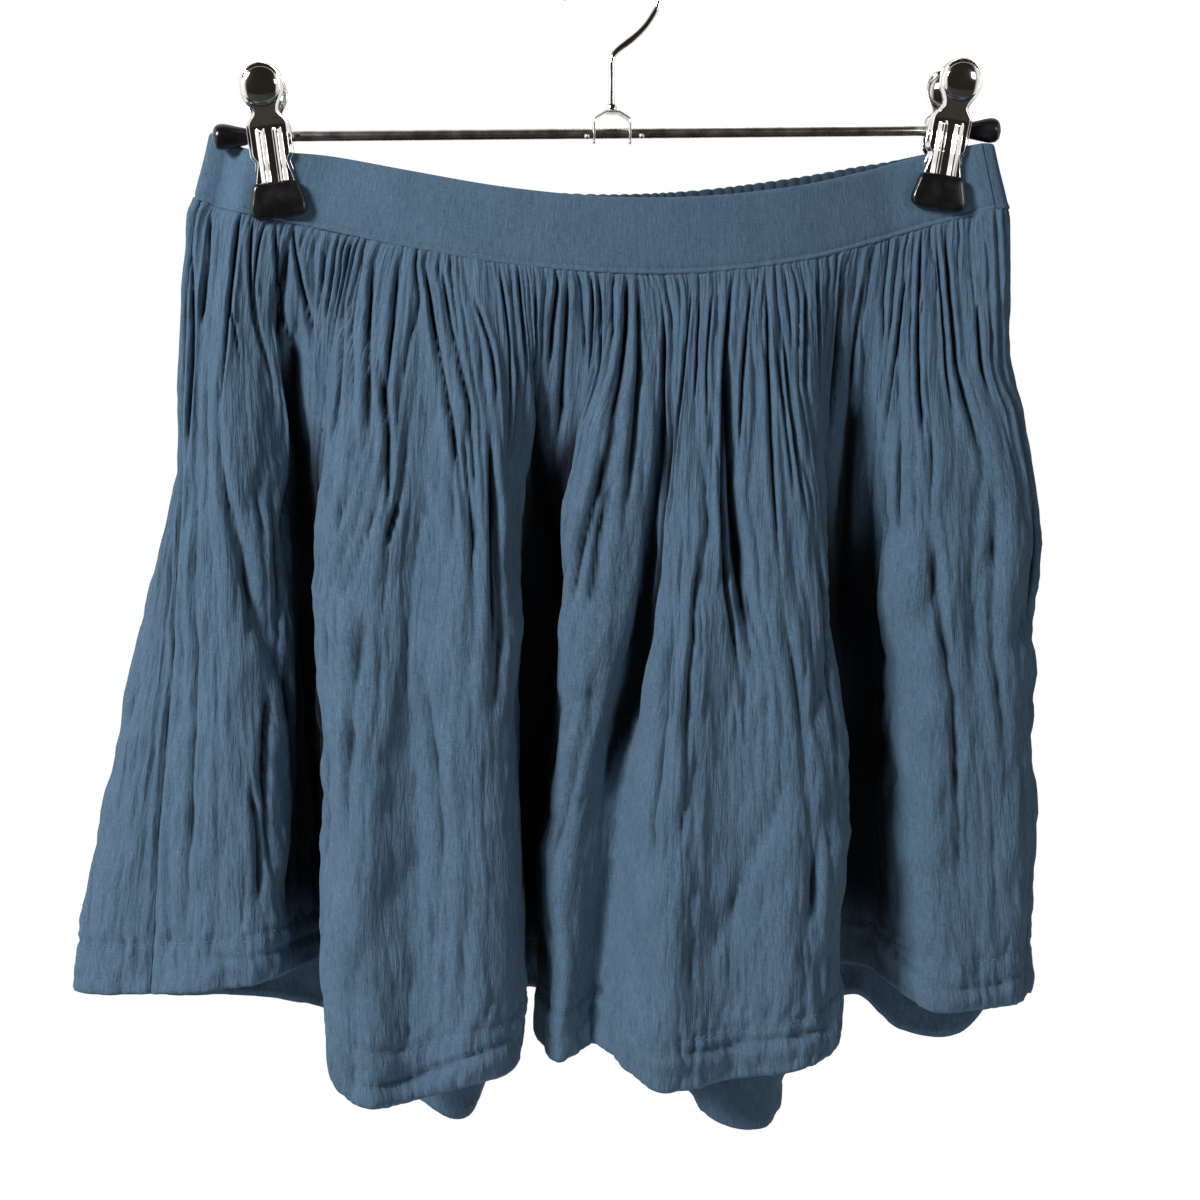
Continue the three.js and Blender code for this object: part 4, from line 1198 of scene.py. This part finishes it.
def clip_place(points, x, lean):
    """Leans a clip about the rod's level and moves it along the rod."""
    turn = -math.radians(lean)
    local_x, local_z = points[..., 0], points[..., 2]
    moved_x = local_x * math.cos(turn) + local_z * math.sin(turn) + x
    moved_z = -local_x * math.sin(turn) + local_z * math.cos(turn) + ROD_Z + x * math.tan(ROD_TILT)
    return np.stack([moved_x, points[..., 1], moved_z], -1)


LEG_WALL = 0.85
RIB_MIDDLES, RIB_HALF, RIB_HEIGHT = (-3.15, 3.15), 1.85, 1.7


def clip_leg(side):
    """A pressed steel leg, as its front and back. Its outline follows LEG_ROWS. Its edges turn back over
    their last 1.5 mm, two roof-shaped ribs with a rounded crest run down from the rod's level, and a
    domed button in a groove stands on the head."""
    drop, half, stand = spline(LEG_ROWS, np.linspace(0, len(LEG_ROWS) - 1, 133)).T[:, :, None]
    steps = np.sin(0.45 * np.pi * np.linspace(-1, 1, 101))[None]
    t = steps / steps[0, -1]  # closer together towards the edges
    a = half * t
    within = half - np.abs(a)
    height = stand - 2.4 * smooth_step(0, 1, 1 - within / 1.5) * np.clip(half / 5, 0.2, 1)
    ribs = RIB_HEIGHT * smooth_step(-2.8, -1.2, drop) * smooth_step(0, 0.8, within)
    for middle in RIB_MIDDLES:
        roof = np.sqrt(1.04) - np.sqrt(((a - middle) / RIB_HALF)**2 + 0.04)
        height += ribs * np.maximum(roof, 0)
    radius = np.hypot(a, drop - HEAD_DROP)
    height += 2.1 * np.sqrt(np.clip(1 - (radius / 6.9)**2, 0, 1)) - 0.35 * np.exp(-((radius - 7.1) / 0.3)**2)
    height -= 0.3 * np.exp(-((drop + 8.0) / 3)**2) * (1 - t**2)
    front = np.stack([a, side * height, -drop + 0 * a], -1)
    back = front - np.array([0, side * LEG_WALL, 0])
    back[:, 0, 0] += 0.5
    back[:, -1, 0] -= 0.5
    return front, back


# A jaw pad's corners: x, how far below the rod, and how far the rounding reaches.
PAD_CORNERS = [(-8.4, 17.6, 2.4), (8.4, 17.6, 2.4), (11.9, 31, 5.6), (-11.9, 31, 5.6)]
PAD_THICKNESS = 4.0
PAD_EDGE = 1.9
# How far a pad's flat back stands from the rod's plane: the waistband's middle, half its wall and the gap.
PAD_BACK = 2.2 + 1.0 + SEAM_GAP


def pad_outline():
    """The pad's rounded outline: 9 points round each corner and 8 along each side."""
    places = np.array([corner[:2] for corner in PAD_CORNERS])
    arcs = [corner_arc(places[k - 1], places[k], places[(k + 1) % 4], PAD_CORNERS[k][2], 9) for k in range(4)]
    gap = np.linspace(0, 1, 10)[1:-1, None]
    runs = []
    for arc, following in zip(arcs, arcs[1:] + arcs[:1]):
        runs += [arc, arc[-1] + (following[0] - arc[-1]) * gap]
    return np.concatenate(runs)


def pad_grid(side):
    """A rubber jaw pad: its outline carried over a rounded edge, from the middle of its front to the
    middle of its flat back, as rings that first grow and then shrink."""
    outline = pad_outline()
    centre = np.array([0, (PAD_CORNERS[0][1] + PAD_CORNERS[2][1]) / 2 + 0.6])
    spokes = outline - centre
    reach = np.linalg.norm(spokes, axis=1, keepdims=True)
    turns = np.linspace(0, np.pi / 2, 7)
    edge = [(PAD_EDGE * (1 - math.sin(a)), PAD_THICKNESS - PAD_EDGE * (1 - math.cos(a))) for a in turns]
    rings = [(0.02, PAD_THICKNESS + 0.35), (0.3, PAD_THICKNESS + 0.32), (0.6, PAD_THICKNESS + 0.2)]
    rings += [(1 - inset / reach, depth) for inset, depth in edge]
    rings += [(1, 0.9), (1 - 0.25 / reach, 0.25), (1 - 0.9 / reach, 0.0), (0.5, 0.0), (0.02, 0.0)]
    rows = []
    for share, depth in rings:
        x, below = (centre + spokes * share).T
        rows.append(np.stack([x, 0 * x + side * (PAD_BACK + depth), -below], -1))
    return np.stack(rows)


class SKIRT_OT_clips(bpy.types.Operator):
    """Builds the two clips: sprung legs, barrels and rubber pads"""

    bl_idname = "skirt.clips"
    bl_label = "Clips"

    def execute(self, context):
        for name, x, lean in CLIPS:
            for end, side in (("front", -1), ("back", 1)):
                sheet = [clip_place(grid, x, lean) for grid in clip_leg(side)]
                leg = shell(f"{name}_{end}_leg", *sheet)
                finish_piece(leg, "bright plating", "chrome", f"{name}_clip_{end}_leg")
                pad = loop_tube(f"{name}_{end}_pad", clip_place(pad_grid(side), x, lean))
                finish_piece(pad, "dipped rubber", "rubber", f"{name}_clip_{end}_pad")
            barrel = rounded([(x + along, radius) for along, radius in BARREL_PROFILE], 0.5)
            barrel = hollow_turned(f"{name}_barrel", barrel)
            finish_piece(barrel, "bright plating", "chrome", f"{name}_clip_pivot")
        return {"FINISHED"}


# ---- The stage ----
CAMERA_AT = (-0.06374, -0.84586, -0.19184)
CAMERA_TO = (-0.00459, 0.0, -0.25113)
LENS = 65.82
LIT_MIDDLE = (0, 0, -0.27)
# Name, place, width and height in metres, and watts.
LIGHTS = [
    ("key light", (-1.35, -1.0, 0.6), (0.45, 0.45), 42),
    ("fill light", (0.95, -1.15, 0.1), (0.3, 0.3), 3),
    ("rim light left", (-1.1, 0.1, 0.1), (0.5, 1.2), 1.5),
    ("back light", (0.6, 1.3, 0.3), (1.0, 1.0), 16),
]
FLOOR_REACH, FLOOR_LEVEL = 1.15, -1.05
DARK_ROOM = (0.022, 0.018, 0.013, 1)
WINDOW = (0.95, 0.94, 0.92, 1)


def aim(thing, place, target):
    """Puts a thing in the scene at a place, facing a target."""
    bpy.context.scene.collection.objects.link(thing)
    thing.location = place
    thing.rotation_euler = (Vector(target) - Vector(place)).to_track_quat("-Z", "Y").to_euler()


def make_camera():
    data = bpy.data.cameras.new("camera")
    data.sensor_width = 36
    data.lens = LENS
    data.clip_start = 0.05
    camera = bpy.data.objects.new("camera", data)
    aim(camera, CAMERA_AT, CAMERA_TO)
    bpy.context.scene.camera = camera


def make_light(name, place, size, power):
    data = bpy.data.lights.new(name, "AREA")
    data.shape = "RECTANGLE"
    data.size, data.size_y = size
    data.energy = power
    aim(bpy.data.objects.new(name, data), place, LIT_MIDDLE)


def make_surroundings():
    """A white backdrop that lights the cloth softly. The plating mirrors a dark room in front of it, and
    bright walls behind and at the sides."""
    world = bpy.data.worlds.new("surroundings")
    bpy.context.scene.world = world
    world.use_nodes = True
    tree = world.node_tree
    tree.nodes.clear()
    path = node(tree, "ShaderNodeLightPath").outputs
    parts = node(tree, "ShaderNodeSeparateXYZ")
    join(tree, node(tree, "ShaderNodeTexCoord").outputs["Generated"], parts.inputs["Vector"])
    height = ramp(tree, parts.outputs["Z"], -0.6, 0.7)
    shade = colour_mix(tree, height, (0.07, 0.07, 0.07, 1), (0.13, 0.13, 0.13, 1))
    behind = ramp(tree, parts.outputs["Y"], -0.25, 0.45)
    aside = ramp(tree, math_node(tree, "ABSOLUTE", parts.outputs["X"]), 0.66, 0.84)
    glossy = colour_mix(tree, math_node(tree, "MAXIMUM", behind, aside), DARK_ROOM, WINDOW)
    room = colour_mix(tree, path["Is Glossy Ray"], shade, glossy)
    colour = colour_mix(tree, path["Is Camera Ray"], room, (1, 1, 1, 1))
    sky = node(tree, "ShaderNodeBackground")
    join(tree, colour, sky.inputs["Color"])
    join(tree, sky.outputs["Background"], node(tree, "ShaderNodeOutputWorld").inputs["Surface"])


def make_floor():
    """A pale matt floor, which the plating mirrors as dark."""
    mesh = bpy.data.meshes.new("floor")
    around = ((-1, -1), (1, -1), (1, 1), (-1, 1))
    corners = [(FLOOR_REACH * x, FLOOR_REACH * y, FLOOR_LEVEL) for x, y in around]
    mesh.from_pydata(corners, [], [(0, 1, 2, 3)])
    floor = bpy.data.objects.new("floor", mesh)
    bpy.context.scene.collection.objects.link(floor)
    material, tree, shader = new_material("pale floor")
    tone = noise(tree, node(tree, "ShaderNodeTexCoord").outputs["Object"], 3.0)
    paint = colour_mix(tree, ramp(tree, tone, 0.3, 0.7), (0.86, 0.86, 0.86, 1), (0.9, 0.9, 0.9, 1))
    glossy = node(tree, "ShaderNodeLightPath").outputs["Is Glossy Ray"]
    join(tree, colour_mix(tree, glossy, paint, (0.03, 0.026, 0.02, 1)), shader.inputs["Base Color"])
    shader.inputs["Roughness"].default_value = 0.9
    mesh.materials.append(material)


class SKIRT_OT_stage(bpy.types.Operator):
    """Sets the camera, the lights, the plain surroundings and the floor"""

    bl_idname = "skirt.stage"
    bl_label = "Stage"

    def execute(self, context):
        context.scene.view_settings.view_transform = "Standard"
        make_camera()
        for light in LIGHTS:
            make_light(*light)
        make_surroundings()
        make_floor()
        return {"FINISHED"}


class SKIRT_OT_finishes(bpy.types.Operator):
    """Makes the materials"""

    bl_idname = "skirt.finishes"
    bl_label = "Finishes"

    def execute(self, context):
        cloth = context.scene.skirt
        hanger = context.scene.hanger
        gauze_group()
        metal_group()
        deep, pale = tuple(cloth.deep), tuple(cloth.pale)
        cloth_material("crinkled gauze", deep, pale, crinkle=1.0, depth=0.0006)
        folded = tuple(c * 1.02 for c in deep), tuple(c * 0.95 for c in pale)
        cloth_material("folded gauze", *folded, crinkle=0.45, depth=0.00045)
        thread_material("sewing thread", tuple(c * 1.12 for c in pale))
        metal_material("bright plating", tuple(hanger.chrome), dull=0.05)
        metal_material("dull plating", tuple(hanger.rod), dull=0.24)
        metal_material("satin plating", tuple(hanger.chrome), dull=0.4)
        rubber_material("dipped rubber", tuple(hanger.rubber))
        return {"FINISHED"}


class SKIRT_PT_panel(bpy.types.Panel):
    """Lists the skirt's settings and pieces"""

    bl_idname = "SKIRT_PT_panel"
    bl_label = "Gathered skirt"
    bl_space_type = "VIEW_3D"
    bl_region_type = "UI"
    bl_category = "Skirt"

    def draw(self, context):
        layout = self.layout
        for settings in (context.scene.skirt, context.scene.hanger):
            for name in settings.bl_rna.properties.keys():
                if name not in ("rna_type", "name"):
                    layout.prop(settings, name)
        for operator in OPERATORS:
            layout.operator(operator.bl_idname)


OPERATORS = [
    SKIRT_OT_finishes, SKIRT_OT_panel, SKIRT_OT_hem, SKIRT_OT_waistband, SKIRT_OT_stitching,
    SKIRT_OT_hook, SKIRT_OT_rod, SKIRT_OT_clips, SKIRT_OT_stage,
]
CLASSES = [SkirtSettings, HangerSettings, *OPERATORS, SKIRT_PT_panel]


def register():
    for cls in CLASSES:
        bpy.utils.register_class(cls)
    bpy.types.Scene.skirt = bpy.props.PointerProperty(type=SkirtSettings)
    bpy.types.Scene.hanger = bpy.props.PointerProperty(type=HangerSettings)


def unregister():
    del bpy.types.Scene.hanger
    del bpy.types.Scene.skirt
    for cls in reversed(CLASSES):
        bpy.utils.unregister_class(cls)


def main():
    register()
    for operator in OPERATORS:
        group, name = operator.bl_idname.split(".")
        getattr(getattr(bpy.ops, group), name)()


if __name__ == "__main__":
    main()
